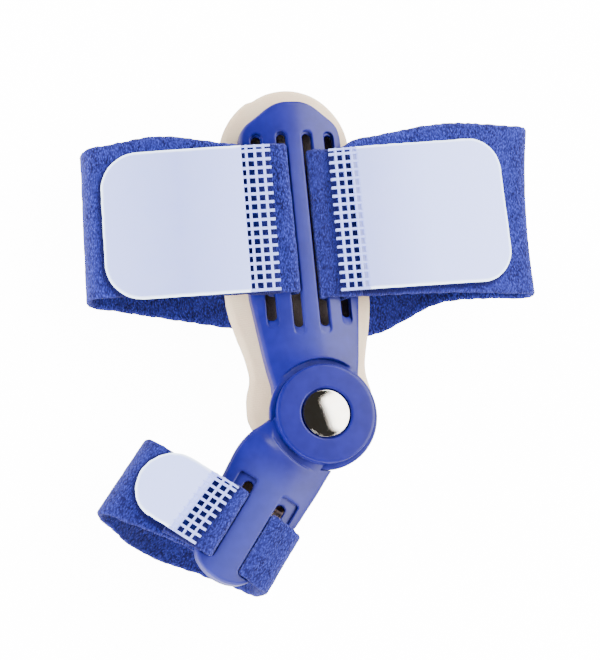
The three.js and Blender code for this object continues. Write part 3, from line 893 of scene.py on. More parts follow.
@dataclass(frozen=True)
class MouldedPlastic(Finish):
    """Blue moulded plastic: a soft gloss with faint flow marks, scuffs and dust, and a painted
    highlight where its mask is set.
    """

    roughness: float = 0.34
    dust: Colour = (0.2, 0.22, 0.5)
    haze: Colour = (0.2, 0.23, 0.72)

    def make(self) -> bpy.types.Material:
        """The material.

        Returns:
            The material.
        """
        material, nodes, shader = self.start()
        grain = self.group(nodes, self.effects.grain, nodes.place(), 300.0)
        wear = self.group(nodes, self.effects.wear, nodes.place(), 0.5)
        light = self.toned(1.25, 1.25, 1.25)
        flow = nodes.mix(nodes.ramp(grain.outputs[1], 0.35, 0.65), self.colour, light)
        dusty = nodes.mix(nodes.math("MULTIPLY", wear.outputs[0], 0.5), flow, self.dust)
        rough = nodes.math("MULTIPLY_ADD", wear.outputs[1], 0.15, self.roughness)
        nodes.fill(
            shader,
            # painted highlight: the colour turns pale blue where the mask is set
            Base_Color=nodes.mix(nodes.attribute("haze"), dusty, self.haze),
            Roughness=nodes.math("MULTIPLY_ADD", grain.outputs[0], 0.08, rough),
            Specular_IOR_Level=0.28,
            Coat_Weight=0.08,
            Coat_Roughness=0.15,
            Subsurface_Weight=0.05,
            Subsurface_Radius=(0.0004, 0.0006, 0.002),
        )
        self.bumped(nodes, shader, grain.outputs[0], 0.00003, 0.35)
        return material


@dataclass(frozen=True)
class LoopPile(Finish):
    """Brushed loop fabric: short strokes of light and dark that run with the strap, following the
    pile's height as painted shade and highlight, with painted lighter loop tops and painted darker
    masked places.
    """

    # dark is the colour of painted shade and shadow, light the colour of painted highlight on
    # raised loops and loop tops
    dark: Colour = (0.007, 0.006, 0.06)
    light: Colour = (0.07, 0.09, 0.74)

    def make(self) -> bpy.types.Material:
        """The material.

        Returns:
            The material.
        """
        material, nodes, shader = self.start()
        run = nodes.add("ShaderNodeUVMap", uv_map="run").outputs[0]
        pile = self.group(nodes, self.effects.pile, run, 1.25)
        # painted shade and highlight that follow the pile's height
        tint = nodes.mix(pile.outputs[1], self.dark, self.colour)
        tint = nodes.mix(nodes.ramp(pile.outputs[0], 0.68, 0.95), tint, self.light)
        worn = nodes.math("MULTIPLY", nodes.ramp(pile.outputs[2], 0.4, 0.8), 0.3)
        woven = nodes.mix(worn, tint, self.colour)
        # painted shadow and shade: darker where the mask is set
        woven = nodes.mix(nodes.attribute("pressed"), woven, self.dark)
        nodes.fill(
            shader,
            # painted highlight: each loop turns lighter toward its top
            Base_Color=nodes.mix(nodes.attribute("loop"), woven, self.light),
            Roughness=0.95,
            Specular_IOR_Level=0.1,
            Sheen_Weight=0.25,
            Sheen_Roughness=0.5,
            Sheen_Tint=(0.5, 0.5, 1.0, 1.0),
        )
        self.bumped(nodes, shader, pile.outputs[0], 0.0006, 0.9)
        return material


@dataclass(frozen=True)
class HookSheet(Finish):
    """Milky hook plastic with a satin face; its weak emission and the brighter, bluer parts that a
    mask sets are painted light.
    """

    thin: Colour = (0.27, 0.29, 0.48)
    milk: Colour = (0.62, 0.7, 1.0)
    # rim colours: a painted highlight round the tab's edge
    rim: Colour = (0.75, 0.84, 1.0)
    # emission colours: painted light, for a tab that shines though it is no lamp
    painted_glow: Colour = (0.02, 0.026, 0.17)
    painted_light_glow: Colour = (0.07, 0.11, 0.62)
    painted_rim_highlight: Colour = (0.62, 0.76, 1.0)

    def make(self) -> bpy.types.Material:
        """The material.

        Returns:
            The material.
        """
        material, nodes, shader = self.start()
        grain = self.group(nodes, self.effects.grain, nodes.place(), 220.0)
        wear = self.group(nodes, self.effects.wear, nodes.place(), 0.3)
        milk, rim = nodes.attribute("milk"), nodes.attribute("rim")
        cool = self.toned(0.93, 0.95, 1.0)
        tint = nodes.mix(nodes.ramp(grain.outputs[1], 0.3, 0.7), self.colour, cool)
        tint = nodes.mix(nodes.attribute("thin"), tint, self.thin)
        # painted light: brighter and bluer where the mask is set
        tint = nodes.mix(milk, tint, self.milk)
        painted_glow = nodes.mix(milk, self.painted_glow, self.painted_light_glow)
        nodes.fill(
            shader,
            # painted highlight: a bright, emitting line round the tab's edge
            Base_Color=nodes.mix(rim, tint, self.rim),
            Emission_Color=nodes.mix(rim, painted_glow, self.painted_rim_highlight),
            Emission_Strength=2.5,
            Roughness=nodes.math("MULTIPLY_ADD", wear.outputs[1], 0.2, 0.42),
            Subsurface_Weight=0.2,
            Subsurface_Radius=(0.001, 0.001, 0.0014),
        )
        self.bumped(nodes, shader, grain.outputs[0], 0.00004, 0.3)
        return material


@dataclass(frozen=True)
class SuedeFoam(Finish):
    """Beige foam with a fine suede face, with painted shade where plastic lies over it."""

    shade: Colour = (0.25, 0.2, 0.18)

    def make(self) -> bpy.types.Material:
        """The material.

        Returns:
            The material.
        """
        material, nodes, shader = self.start()
        nap = self.group(nodes, self.effects.grain, nodes.place(), 420.0)
        clouds = self.group(nodes, self.effects.grain, nodes.place(), 130.0)
        knit = nodes.add("ShaderNodeTexWave", bands_direction="Y")
        nodes.fill(knit, Vector=nodes.place(), Scale=420.0, Distortion=2.5)
        lines = nodes.math("MULTIPLY", knit.outputs[1], 0.22)
        deep, pale = self.toned(0.86, 0.82, 0.76), self.toned(1.06, 1.06, 1.06)
        tint = nodes.mix(nodes.ramp(nap.outputs[0], 0.3, 0.62), deep, self.colour)
        tint = nodes.mix(nodes.ramp(clouds.outputs[1], 0.4, 0.7), tint, pale)
        tint = nodes.mix(lines, tint, deep)
        nodes.fill(
            shader,
            # painted shade where the mask is set
            Base_Color=nodes.mix(nodes.attribute("covered"), tint, self.shade),
            Roughness=0.95,
            Specular_IOR_Level=0.15,
            Sheen_Weight=0.2,
        )
        self.bumped(nodes, shader, nodes.math("ADD", nap.outputs[0], lines), 0.0002, 0.6)
        return material


@dataclass(frozen=True)
class PolishedNickel(Finish):
    """Polished metal with the faintest dullness and polishing lines."""

    def make(self) -> bpy.types.Material:
        """The material.

        Returns:
            The material.
        """
        material, nodes, shader = self.start()
        grain = self.group(nodes, self.effects.grain, nodes.place(), 500.0)
        specks = self.group(nodes, self.effects.grain, nodes.place(), 2400.0)
        wear = self.group(nodes, self.effects.wear, nodes.place(), 0.6)
        warm = self.toned(0.96, 0.93, 0.88)
        nodes.fill(
            shader,
            Base_Color=nodes.mix(nodes.ramp(grain.outputs[1], 0.4, 0.6), self.colour, warm),
            Metallic=1.0,
            Roughness=nodes.math("MULTIPLY_ADD", wear.outputs[1], 0.1, 0.07),
        )
        height = nodes.math("MULTIPLY_ADD", specks.outputs[0], 0.22, grain.outputs[0])
        self.bumped(nodes, shader, height, 0.00006, 0.5)
        return material


@dataclass
class Finishes:
    """Every finish of the splint."""

    effects: Effects = field(default_factory=Effects)
    made: dict[Slot, bpy.types.Material] = field(default_factory=dict)

    def __post_init__(self) -> None:
        """Makes each of them once."""
        kinds: dict[Slot, Finish] = {
            Slot.PLASTIC: MouldedPlastic("moulded_blue", (0.0088, 0.0073, 0.16), self.effects),
            Slot.FABRIC: LoopPile("loop_pile_blue", (0.048, 0.06, 0.5), self.effects),
            Slot.TAB: HookSheet("milky_hook_sheet", (0.45, 0.52, 1.0), self.effects),
            Slot.PAD: SuedeFoam("beige_suede", (1.0, 0.77, 0.54), self.effects),
            Slot.RIVET: PolishedNickel("polished_nickel", (0.83, 0.79, 0.72), self.effects),
        }
        for slot, finish in kinds.items():
            self.made[slot] = finish.make()


# Pieces


@dataclass
class Piece:
    """A visible piece: what it is called, what carries it and what it stands for."""

    name: str
    body: Body
    slot: Slot
    place: Vector
    finishes: Finishes
    nodes: tuple[str, ...] = ()

    def carry(self, made: bpy.types.Object) -> None:
        """Gives an object the piece's finish, body and slot.

        Args:
            made: The object.
        """
        made.data.materials.clear()
        made.data.materials.append(self.finishes.made[self.slot])
        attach(made, self.body.value)
        LOG.info("%s: %d faces on %s", made.name, len(made.data.polygons), self.body.value)

    def settle(self, made: bpy.types.Object) -> bpy.types.Object:
        """Gives the object its finish, its body and the CAD nodes it stands for.

        Args:
            made: The object.

        Returns:
            The same object.
        """
        self.carry(made)
        if self.nodes:
            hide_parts(*self.nodes)
        return made


def rounded(points: Array, rounds: int) -> Array:
    """An open line with its corners cut again and again until they are round.

    Args:
        points: The line.
        rounds: How often its corners are cut.

    Returns:
        The rounder line.
    """
    for _ in range(rounds):
        near = 0.75 * points[:-1] + 0.25 * points[1:]
        far = 0.25 * points[:-1] + 0.75 * points[1:]
        middle = np.stack([near, far], 1).reshape(-1, 2)
        points = np.concatenate([points[:1], middle, points[-1:]])
    return points


def ellipse_end(half: float, start: float, end: float) -> Array:
    """Half widths and places along a piece whose end is half an ellipse."""
    turn = np.linspace(0, np.pi / 2, 40)[1:]
    return np.stack([half * np.cos(turn), start + (end - start) * np.sin(turn)], 1)


def long_outline(half: Field, start: float, last: float, heel: Array, centre: float) -> Array:
    """Closed plan of a piece along the plate.

    Args:
        half: Half width at a place along the plate.
        start: Toe end.
        last: Where the heel end takes over.
        heel: Half width and place of the heel end's points, out to the middle line.
        centre: Middle line.

    Returns:
        Corner points in order.
    """
    along = np.linspace(start, last, 60)
    y = np.concatenate([along, heel[:, 1]])
    reach = np.concatenate([half(along), heel[:, 0]])
    right = np.stack([centre + reach, y], 1)
    left = np.stack([centre - reach, y], 1)[::-1]
    return np.concatenate([right, left[1:]])


class FootPlate(Piece):
    """The blue plate: a curved shell with four slots, a lipped recess and the hinge's base."""

    step = 0.36
    heel_start = 0.85
    edge_round = 1.1
    rear_round = 0.4
    recess_round = 0.45
    cut_round = 0.3
    base_half = 1.3

    @staticmethod
    def half_at(y: Array) -> Array:
        """Half the plate's width at a place along it."""
        return lookup(PLATE_OUTLINE, 1, y / PLATE.length) * PLATE.width / 2

    @classmethod
    def outline(cls) -> Array:
        """Closed plan of the plate, its heel end blunt with round corners."""
        heel = np.array(PLATE_HEEL) * (PLATE.width / 2, PLATE.length)
        last = cls.heel_start * PLATE.length
        return long_outline(cls.half_at, PLATE.toe_end, last, rounded(heel, 3), PLATE.offset)

    def with_slots(self, shape: Array, x: Array, y: Array, z: Array) -> Array:
        """The plate with its four slots, each sunk to a ledge and ramped at its hinge end.

        Args:
            shape: Distance to the shell.
            x, y, z: Places.

        Returns:
            The distance with the slots cut.
        """
        ledge = barrel(x, z, PLATE.offset, -PLATE.ledge, PLATE.crown_radius - PLATE.ledge)
        starts = (
            (PLATE.slot_inner, PLATE.slot_inner_start),
            (PLATE.slot_outer, PLATE.slot_outer_start),
        )
        width, end = PLATE.slot_width, PLATE.slot_end
        for side in (-1, 1):
            for place, start in starts:
                at = PLATE.offset + side * place
                whole = slot_plan(x, y, at, start - 0.8, end + 0.5, width + 0.4)
                ramp = 0.34 * np.clip(start + 2.6 - y, 0, 4)
                shape = without(shape, both(whole, ramp - ledge), self.rear_round)
                through = slot_plan(x, y, at, start + 1.8, end - 0.4, width - 0.2)
                shape = without(shape, through, self.cut_round)
        return shape

    def build(self) -> bpy.types.Object:
        """The finished piece.

        Returns:
            Its object.
        """
        plan = PlanDistance(self.outline())

        def solid(points: Array) -> Array:
            """Distance to the piece.

            Args:
                points: Places in millimetres.

            Returns:
                One distance for each point.
            """
            x, y, z = points.T
            edge = plan(x, y)
            outer = barrel(x, z, PLATE.offset, 0.0, PLATE.crown_radius)
            pad_top = barrel(x, z, PLATE.offset, PAD.crown + CLEARANCE, PAD.crown_radius)
            body = both(both(edge, outer, self.edge_round), -pad_top, self.rear_round)
            under = barrel(x, z, PLATE.offset, -PLATE.wall, PLATE.crown_radius - PLATE.wall)
            hollow = both(edge + PLATE.rim, under)
            lip = disc(x, y, HINGE.lip_radius + HINGE.lip_wall)
            shape = without(body, without(hollow, lip, self.cut_round), self.cut_round)
            recess = both(disc(x, y, HINGE.lip_radius), HINGE.base_top - z)
            shape = without(shape, recess, self.recess_round)
            level = np.abs(z - (HINGE.base_top + HINGE.base_bottom) / 2) - self.base_half
            shape = either(shape, both(disc(x, y, HINGE.base_radius), level, 0.5), 0.05)
            shape = without(shape, disc(x, y, HINGE.shank + CLEARANCE))
            return self.with_slots(shape, x, y, z)

        surface = surface_of(solid, (-21.5, -19, -14.5), (19.5, 109.5, 1.2), self.step)
        made = write_object(self.name, surface, self.place)
        x, y = surface.points[:, 0], surface.points[:, 1]
        # painted highlight: a pale band down the plate's middle, starting past the hinge and fading
        # toward the heel, over a faint even tint
        middle = np.exp(-(((x - PLATE.offset) / 9) ** 2))
        haze = 0.085 * middle * np.clip((y - 17) / 6, 0, 1) * np.clip((100 - y) / 20, 0.2, 1)
        add_mask(made, "haze", 0.01 + haze)
        return self.settle(made)


class ToeArm(Piece):
    """The toe arm: the hinge's disc, a waisted shell, two slots and their sunk pockets."""

    step = 0.33
    root = 9.0
    tip_start = 0.88
    edge_round = 1.2
    cut_round = 0.3
    relief_round = 0.2
    shoulder_at = (-12.6, -17.2)
    shoulder_way = (0.24, 0.97)
    shoulder_rise = 1.45

    @staticmethod
    def outline() -> Array:
        """Closed plan of the arm, its tip half an ellipse; along runs down -Y.

        Returns:
            Corner points in order.
        """
        last = ToeArm.tip_start * ARM.length
        along = np.linspace(ToeArm.root, last, 60)
        turn = np.linspace(0, np.pi / 2, 40)[1:]
        y = np.concatenate([along, last + (ARM.length - last) * np.sin(turn)])
        sides = []
        for column, sign in ((1, -1), (2, 1)):
            edge = lookup(ARM_OUTLINE, column, along / ARM.length) * ARM.width / 2
            tip = edge[-1] * np.cos(turn)
            sides.append(np.stack([ARM.offset + sign * np.concatenate([edge, tip]), -y], 1))
        return np.concatenate([sides[0], sides[1][::-1][1:]])

    def shoulder(self, x: Array, y: Array) -> Array:
        """Rise of the low ridge where the arm leaves the groove round the disc.

        Args:
            x, y: Places across and along.

        Returns:
            Its height at each place.
        """
        dx, dy = x - self.shoulder_at[0], y - self.shoulder_at[1]
        a, b = self.shoulder_way
        toward, aside = a * dx + b * dy, b * dx - a * dy
        step = self.shoulder_rise / (1 + np.exp(np.clip(toward / 0.75, -30, 30)))
        return step * np.exp(-((aside / 5.0) ** 2) - (np.minimum(toward, 0) / 6.0) ** 2)

    def with_slots(self, shape: Array, x: Array, y: Array, z: Array) -> Array:
        """The arm with its two slots, each in a sunk pocket.

        Args:
            shape: Distance to the shell.
            x, y, z: Places.

        Returns:
            The distance with them cut.
        """
        long, middle = ARM.slot_end - ARM.pocket_start, (ARM.pocket_start + ARM.slot_end) / 2
        depth = ARM.pocket_depth
        floor = barrel(x, z, ARM.offset, -depth, ARM.crown_radius - depth)
        for side in (-1, 1):
            bar = ARM.offset + side * ARM.bar_width / 2
            centre = (bar + side * ARM.pocket_width / 2, -middle)
            half = (ARM.pocket_width / 2, long / 2)
            shape = without(shape, both(box(x, y, centre, half, 1.0), -floor), 0.5)
            at = bar + side * ARM.slot_width / 2
            start = ARM.slot_start + (1.2 if side > 0 else 0)
            slot = slot_plan(x, y, at, -ARM.slot_end, -start, ARM.slot_width)
            shape = without(shape, slot, self.cut_round)
        return shape

    def build(self) -> bpy.types.Object:
        """The finished piece.

        Returns:
            Its object.
        """
        plan = PlanDistance(self.outline())

        def solid(points: Array) -> Array:
            """Distance to the piece.

            Args:
                points: Places in millimetres.

            Returns:
                One distance for each point.
            """
            x, y, z = points.T
            edge = plan(x, y)
            outer = barrel(x, z, ARM.offset, 0.0, ARM.crown_radius)
            body = both(edge, outer - self.shoulder(x, y), self.edge_round)
            body = both(body, ARM.rim_bottom - z, 0.5)
            under = barrel(x, z, ARM.offset, -ARM.wall, ARM.crown_radius - ARM.wall)
            hollow = both(edge + ARM.rim, under)
            lip = disc(x, y, HINGE.lip_radius + HINGE.lip_wall)
            shape = without(body, without(hollow, lip, self.cut_round), self.cut_round)
            level = np.maximum(-ARM.slot_end - CLEARANCE - y, y + ARM.slot_start - 0.8)
            shape = without(shape, both(level, under), self.relief_round)
            swing = both(disc(x, y, HINGE.base_radius + CLEARANCE / 2), z - HINGE.disc_bottom)
            shape = without(shape, swing, self.relief_round)
            wide = 0.3 + (ARM.groove_width - 0.3) * np.clip((-edge - 1) / 4, 0, 1)
            groove = both(disc(x, y, HINGE.disc_radius + wide), -ARM.groove_depth - z)
            shape = without(shape, groove, 0.7)
            crown = HINGE.disc_top + 0.35 * (1 - (x * x + y * y) / HINGE.disc_radius**2)
            ring = both(disc(x, y, HINGE.disc_radius), z - crown, 0.75)
            shape = either(shape, both(ring, HINGE.disc_bottom - z, 0.2), 0.12)
            seat = both(disc(x, y, HINGE.cap_radius + 0.62), HINGE.seat - z)
            shape = without(shape, seat, 0.4)
            shape = without(shape, disc(x, y, HINGE.shank + CLEARANCE))
            return self.with_slots(shape, x, y, z)

        surface = surface_of(solid, (-20.5, -66, -8), (17.5, 18, 2), self.step)
        x, y = surface.points[:, 0], surface.points[:, 1]
        # painted highlight: a pale band down the arm's middle, growing away from the hinge
        middle = np.clip(1.2 - np.abs(x - ARM.offset) / 12, 0, 1)
        far = np.clip((np.hypot(x, y) - 21) / 9, 0, 1) * middle
        made = write_object(self.name, surface.turned(ARM.turn), self.place)
        add_mask(made, "haze", 0.13 * far)
        return self.settle(made)


class FootPad(Piece):
    """The foam pad behind the plate: crowned, soft-edged, with a lobe behind the hinge."""

    step = 0.62

    @staticmethod
    def outline() -> Array:
        """Closed plan of the pad with its round lobe at the toe end.

        Returns:
            Corner points in order.
        """

        def half_at(y: Array) -> Array:
            """Half the pad's width.

            Args:
                y: Places along it.

            Returns:
                One half width for each place.
            """
            narrow = lookup(PAD_OUTLINE, 1, y / PLATE.length) * PAD.width / 2
            lobe = PAD_OUTLINE[0][1] * PAD.width / 2
            fade = np.maximum(0, 1 - (y - PAD.lobe_centre) / PAD.lobe_centre / 3)
            return narrow + (PAD.lobe_width / 2 - lobe) * fade

        heel = ellipse_end(float(half_at(np.array([PAD.round_start]))[0]), PAD.round_start, PAD.end)
        body = long_outline(half_at, PAD.lobe_centre, PAD.round_start, heel, PLATE.offset)
        side = np.sign(body[:, 0] - PLATE.offset + 12)
        body[:, 0] += 0.7 * np.clip((body[:, 1] - 60) / 30, 0, 1) * side
        turn = np.linspace(0, np.pi, 50)[1:-1]
        reach = PAD.lobe_centre + PAD.lobe_reach
        across = PLATE.offset - PAD.lobe_width / 2 * np.cos(turn)
        lobe = np.stack([across, PAD.lobe_centre - reach * np.sin(turn)], 1)
        return np.concatenate([body, lobe])

    def build(self) -> bpy.types.Object:
        """The finished piece.

        Returns:
            Its object.
        """
        plan = PlanDistance(self.outline())

        def solid(points: Array) -> Array:
            """Distance to the piece.

            Args:
                points: Places in millimetres.

            Returns:
                One distance for each point.
            """
            x, y, z = points.T
            top = barrel(x, z, PLATE.offset, PAD.crown, PAD.crown_radius)
            inner = PAD.crown_radius - PAD.thickness
            low = barrel(x, z, PLATE.offset, PAD.crown - PAD.thickness, inner)
            return both(both(plan(x, y), top, 1.7), -low, 1.4)

        surface = surface_of(solid, (-28.5, -11.5, -21), (26.5, 115, -5), self.step)
        made = write_object(self.name, surface, self.place)
        # painted shade on the pad under the plate's outline
        above = PlanDistance(FootPlate.outline())
        add_mask(made, "covered", (-0.6 - above(*surface.points[:, :2].T)) / 1.2)
        soften(made, surface, self.place)
        self.settle(made)
        return made


def soften(made: bpy.types.Object, surface: Surface, place: Vector) -> None:
    """Gives foam its slight unevenness, as moves of at most 0.2 mm along the normals.

    Args:
        made: The object.
        surface: Its mesh in millimetres.
        place: The hinge's place.
    """
    noise = ValueNoise(7)
    normals = np.empty(len(made.data.vertices) * 3, np.float32)
    made.data.vertex_normals.foreach_get("vector", normals)
    normals = normals.reshape(-1, 3)
    wave = 0.16 * noise(surface.points, 9.0) + 0.05 * noise(surface.points, 2.6)
    moved = (surface.points + normals * wave[:, None]) * MM + np.array(place)
    made.data.vertices.foreach_set("co", moved.astype(np.float32).ravel())
    made.data.update()


class ToePad(Piece):
    """The beige liner under the toe arm, seen through its slots."""

    step = 0.55
    inset = 4.4
    crown = -5.9
    crown_radius = 18.0
    thickness = 2.0
    cushion = (2.2, 2.7)
    cushion_start = 34.7

    def build(self) -> bpy.types.Object:
        """The finished piece.

        Returns:
            Its object.
        """
        plan = PlanDistance(ToeArm.outline())

        def solid(points: Array) -> Array:
            """Distance to the piece.

            Args:
                points: Places in millimetres.

            Returns:
                One distance for each point.
            """
            x, y, z = points.T
            hinge_end = HINGE.lip_radius + HINGE.lip_wall + 0.8 + y
            edge = np.maximum(plan(x, y) + self.inset, hinge_end)
            slot = np.clip(3.4 - 2 * np.abs(np.abs(x - ARM.offset) - 6.3), 0, 1)
            flat, more = self.cushion
            rise = (flat + more * slot) * np.clip(y + self.cushion_start, 0, 1)
            top = barrel(x, z, ARM.offset, self.crown, self.crown_radius) - rise
            inner = self.crown_radius - self.thickness
            low = barrel(x, z, ARM.offset, self.crown - self.thickness, inner)
            return both(both(edge, top, 0.8), -low, 0.7)

        surface = surface_of(solid, (-20, -64, -15), (14, -19, -5), self.step).turned(ARM.turn)
        made = write_object(self.name, surface, self.place)
        add_mask(made, "covered", np.zeros(len(surface.points)))
        soften(made, surface, self.place)
        self.settle(made)
        return made


class HingeRivet(Piece):
    """The domed rivet: a cap with a rolled edge, its top set a little off centre, and its tail."""

    sides = 144
    push = -1.4

    def build(self) -> bpy.types.Object:
        """The finished piece.

        Returns:
            Its object.
        """
        seat = HINGE.cap_low
        tail_top = HINGE.base_bottom - CLEARANCE
        tail_low = tail_top - HINGE.tail_thickness
        tail = HINGE.tail_radius
        profile = [(0.0, tail_low), (tail - 0.3, tail_low), (tail, tail_low + 0.25)]
        profile += [(tail, tail_top - 0.15), (tail - 0.2, tail_top)]
        profile += [(HINGE.shank, tail_top), (HINGE.shank, seat), (HINGE.cap_radius - 0.25, seat)]
        rolled = HINGE.cap_skirt + 0.15
        for turn in np.linspace(-np.pi / 2, np.pi / 5, 9):
            out = HINGE.cap_radius - 0.35 + 0.35 * math.cos(turn)
            profile.append((out, seat + rolled / 2 + rolled / 2 * math.sin(turn)))
        rise = seat + rolled * 0.79
        top = HINGE.disc_top + HINGE.cap_height - 0.15
        sphere = ((HINGE.cap_radius - 0.2) ** 2 + (top - rise) ** 2) / (2 * (top - rise))
        first = math.asin((HINGE.cap_radius - 0.2) / sphere)
        for turn in np.linspace(first, 0, 26):
            profile.append((sphere * math.sin(turn), top - sphere * (1 - math.cos(turn))))
        ring = [(r, z) for r, z in profile if r > 1e-6]
        points = [(0.0, 0.0, tail_low), (self.push, 0.0, top)]
        for r, z in ring:
            angle = np.linspace(0, 2 * np.pi, self.sides, endpoint=False)
            pushed = self.push * (1 - (r / HINGE.cap_radius) ** 2) if z > rise else 0.0
            points += [(r * math.cos(a) + pushed, r * math.sin(a), z) for a in angle]
        faces: list[tuple[int, ...]] = []
        last = 2 + (len(ring) - 1) * self.sides
        for i in range(self.sides):
            j = (i + 1) % self.sides
            faces.append((0, 2 + j, 2 + i))
            faces.append((1, last + i, last + j))
            for k in range(len(ring) - 1):
                a = 2 + k * self.sides
                b = a + self.sides
                faces.append((a + i, a + j, b + j, b + i))
        return self.settle(write_object(self.name, Surface(np.array(points), faces), self.place))


@dataclass
class RunRow:
    """One row of a strap's run, in millimetres."""

    across: float
    up: float
    bend: float
    middle: float
    width: float
    slant: float = 0.0
    cup: float = 0.0


def loop_rows(
    rows: Sequence[Sequence[float]], left: float, right: float, length: float, width: float
) -> list[RunRow]:
    """Rows in millimetres from rows of shares.

    Args:
        rows: Rows of out, down, bend, middle, width, slant and, where the edge is hollow, cup.
        left: The loop's reach to the left.
        right: Its reach to the right.
        length: The length that middle is a share of.
        width: The strap's width.

    Returns:
        The rows in millimetres.
    """
    deep = STRAP.depth
    return [
        RunRow(
            out * (left if out < 0 else right),
            -down * deep,
            bend * deep,
            middle * length,
            wide * width,
            *more,
        )
        for out, down, bend, middle, wide, *more in rows
    ]


class StrapPath:
    """The centre sheet of a strap: a line with round bends, and its width along the way."""

    def __init__(self, rows: Sequence[RunRow], step: float = 0.7) -> None:
        """Lays the line through the rows.

        Args:
            rows: The run's corners.
            step: Distance between the points of the line.
        """
        corners = np.array([(r.across, r.up) for r in rows])
        points, places = self._rounded(corners, [r.bend for r in rows])
        gaps = np.linalg.norm(np.diff(points, axis=0), axis=1)
        length = np.concatenate([[0], np.cumsum(gaps)])
        keep = np.concatenate([[True], gaps > 1e-6])
        points, places, length = points[keep], places[keep], length[keep]
        self.length = length[-1]
        self.run = np.linspace(0, self.length, int(self.length / step) + 1)
        self.line = np.stack([np.interp(self.run, length, points[:, k]) for k in (0, 1)], 1)
        at = np.interp(self.run, length, places)
        table = [(i, r.middle, r.width, r.slant, r.cup) for i, r in enumerate(rows)]
        self.middle, self.width, self.slant, self.cup = (lookup(table, k, at) for k in (1, 2, 3, 4))
        self._smooth(3)
        tangent = np.gradient(self.line, axis=0)
        tangent /= np.linalg.norm(tangent, axis=1, keepdims=True)
        self.normal = np.stack([-tangent[:, 1], tangent[:, 0]], 1)

    def _smooth(self, rounds: int) -> None:
        """Evens out the line, its ends kept.

        Args:
            rounds: How often.
        """
        for _ in range(rounds):
            inner = self.line[1:-1]
            self.line[1:-1] = 0.5 * inner + 0.25 * (self.line[:-2] + self.line[2:])

    @staticmethod
    def _rounded(corners: Array, bends: Sequence[float]) -> tuple[Array, Array]:
        """A line with a round bend at each corner.

        Args:
            corners: The corners.
            bends: Radius of the bend at each.

        Returns:
            Its points, and the place of each as a row's number and share.
        """
        points, places = [corners[0]], [0.0]
        for i in range(1, len(corners) - 1):
            before = corners[i - 1] - corners[i]
            after = corners[i + 1] - corners[i]
            near, far = np.linalg.norm(before), np.linalg.norm(after)
            turn = math.pi - math.acos(np.clip(before @ after / near / far, -1, 1))
            if turn < 0.02:
                points.append(corners[i])
                places.append(float(i))
                continue
            reach = min(bends[i] * math.tan(turn / 2), 0.495 * min(near, far))
            start = corners[i] + before * reach / near
            end = corners[i] + after * reach / far
            weight = math.cos(turn / 2)
            for t in np.linspace(0, 1, max(6, int(turn / 0.06))):
                a, b, c = (1 - t) ** 2, 2 * t * (1 - t) * weight, t**2
                points.append((a * start + b * corners[i] + c * end) / (a + b + c))
                share = -reach * (1 - 2 * t) / near if t < 0.5 else reach * (2 * t - 1) / far
                places.append(i + share)
        points.append(corners[-1])
        places.append(float(len(corners) - 1))
        return np.array(points), np.array(places)


@dataclass(frozen=True)
class WeaveLook:
    """How uneven a strap is: its edges, its face and the seed of both."""

    seed: int
    edge: float = 0.22
    edge_pitch: float = 1.3
    lump: float = 0.1


def strap_surface(path: StrapPath, thickness: float, look: WeaveLook, across: int) -> Surface:
    """Closed mesh of a strap along its path.

    Args:
        path: The strap's centre sheet.
        thickness: Its thickness in millimetres.
        look: How uneven it is.
        across: Number of columns over its width.

    Returns:
        The mesh with a map of millimetres along and across.
    """
    noise = ValueNoise(look.seed)
    share = np.linspace(-1, 1, across + 1)
    share = np.sign(share) * np.abs(share) ** 0.92
    rows = len(path.run)
    run = np.repeat(path.run[:, None], across + 1, 1)
    side = np.repeat(share[None, :], rows, 0)
    half = path.width[:, None] / 2
    probe = np.stack([run, 200 * np.sign(side), np.zeros_like(run)], -1).reshape(-1, 3)
    ragged = look.edge * noise(probe, look.edge_pitch).reshape(run.shape) * np.abs(side) ** 12
    lateral = side * (half + ragged)
    inset = half * (1 - np.abs(side))
    ends = np.minimum(run, path.length - run)
    near = np.minimum(inset, ends)
    body = np.sqrt(1 - np.clip(1 - near / 0.75, 0, 1) ** 2)
    high = thickness / 2 * np.maximum(body, 0.3)
    points, maps = [], []
    for face in (1, -1):
        probe = np.stack([run, lateral, np.full_like(run, 40.0 * face)], -1).reshape(-1, 3)
        lump = look.lump * (0.6 * noise(probe, 1.1) + 0.8 * noise(probe, 3.1)).reshape(run.shape)
        lift = face * (high + lump * np.minimum(1, near / 0.8))
        shift = side * half * path.slant[:, None] - path.cup[:, None] * (1 - side**2)
        x = path.line[:, 0][:, None] + path.normal[:, 0][:, None] * lift + shift
        z = path.line[:, 1][:, None] + path.normal[:, 1][:, None] * lift
        y = path.middle[:, None] + lateral
        points.append(np.stack([x, y, z], -1).reshape(-1, 3))
        maps.append(np.stack([run, lateral + 90.0 * face], -1).reshape(-1, 2))
    count = rows * (across + 1)
    i, j = np.meshgrid(np.arange(rows - 1), np.arange(across), indexing="ij")
    a = (i * (across + 1) + j).ravel()
    quad = np.stack([a, a + 1, a + across + 2, a + across + 1], 1)
    faces = [quad, quad[:, ::-1] + count]
    edge, end = np.arange(rows - 1) * (across + 1), np.arange(across)
    far, tail = edge + across, (rows - 1) * (across + 1) + end
    rim = ((edge, far + 1), (far + across + 1, far), (end + 1, end), (tail, tail + 1))
    for a, b in rim:
        faces.append(np.stack([a, b, b + count, a + count], 1))
    return Surface(np.concatenate(points), np.concatenate(faces), np.concatenate(maps))


def reach_to(points: Array, spots: Array, layer: float = 6.0, most: float = 9.0) -> Array:
    """Distance in plan to the nearest spot, with spots on other layers left out.

    Args:
        points: Points of the strap.
        spots: Spots to measure to.
        layer: How far above or below a point a spot still counts.
        most: The greatest distance given.

    Returns:
        One distance for each point.
    """
    near = np.full(len(points), most)
    for spot in spots:
        flat = np.hypot(points[:, 0] - spot[0], points[:, 1] - spot[1])
        other = np.abs(points[:, 2] - spot[2]) > layer
        near = np.minimum(near, flat + np.where(other, most, 0.0))
    return near


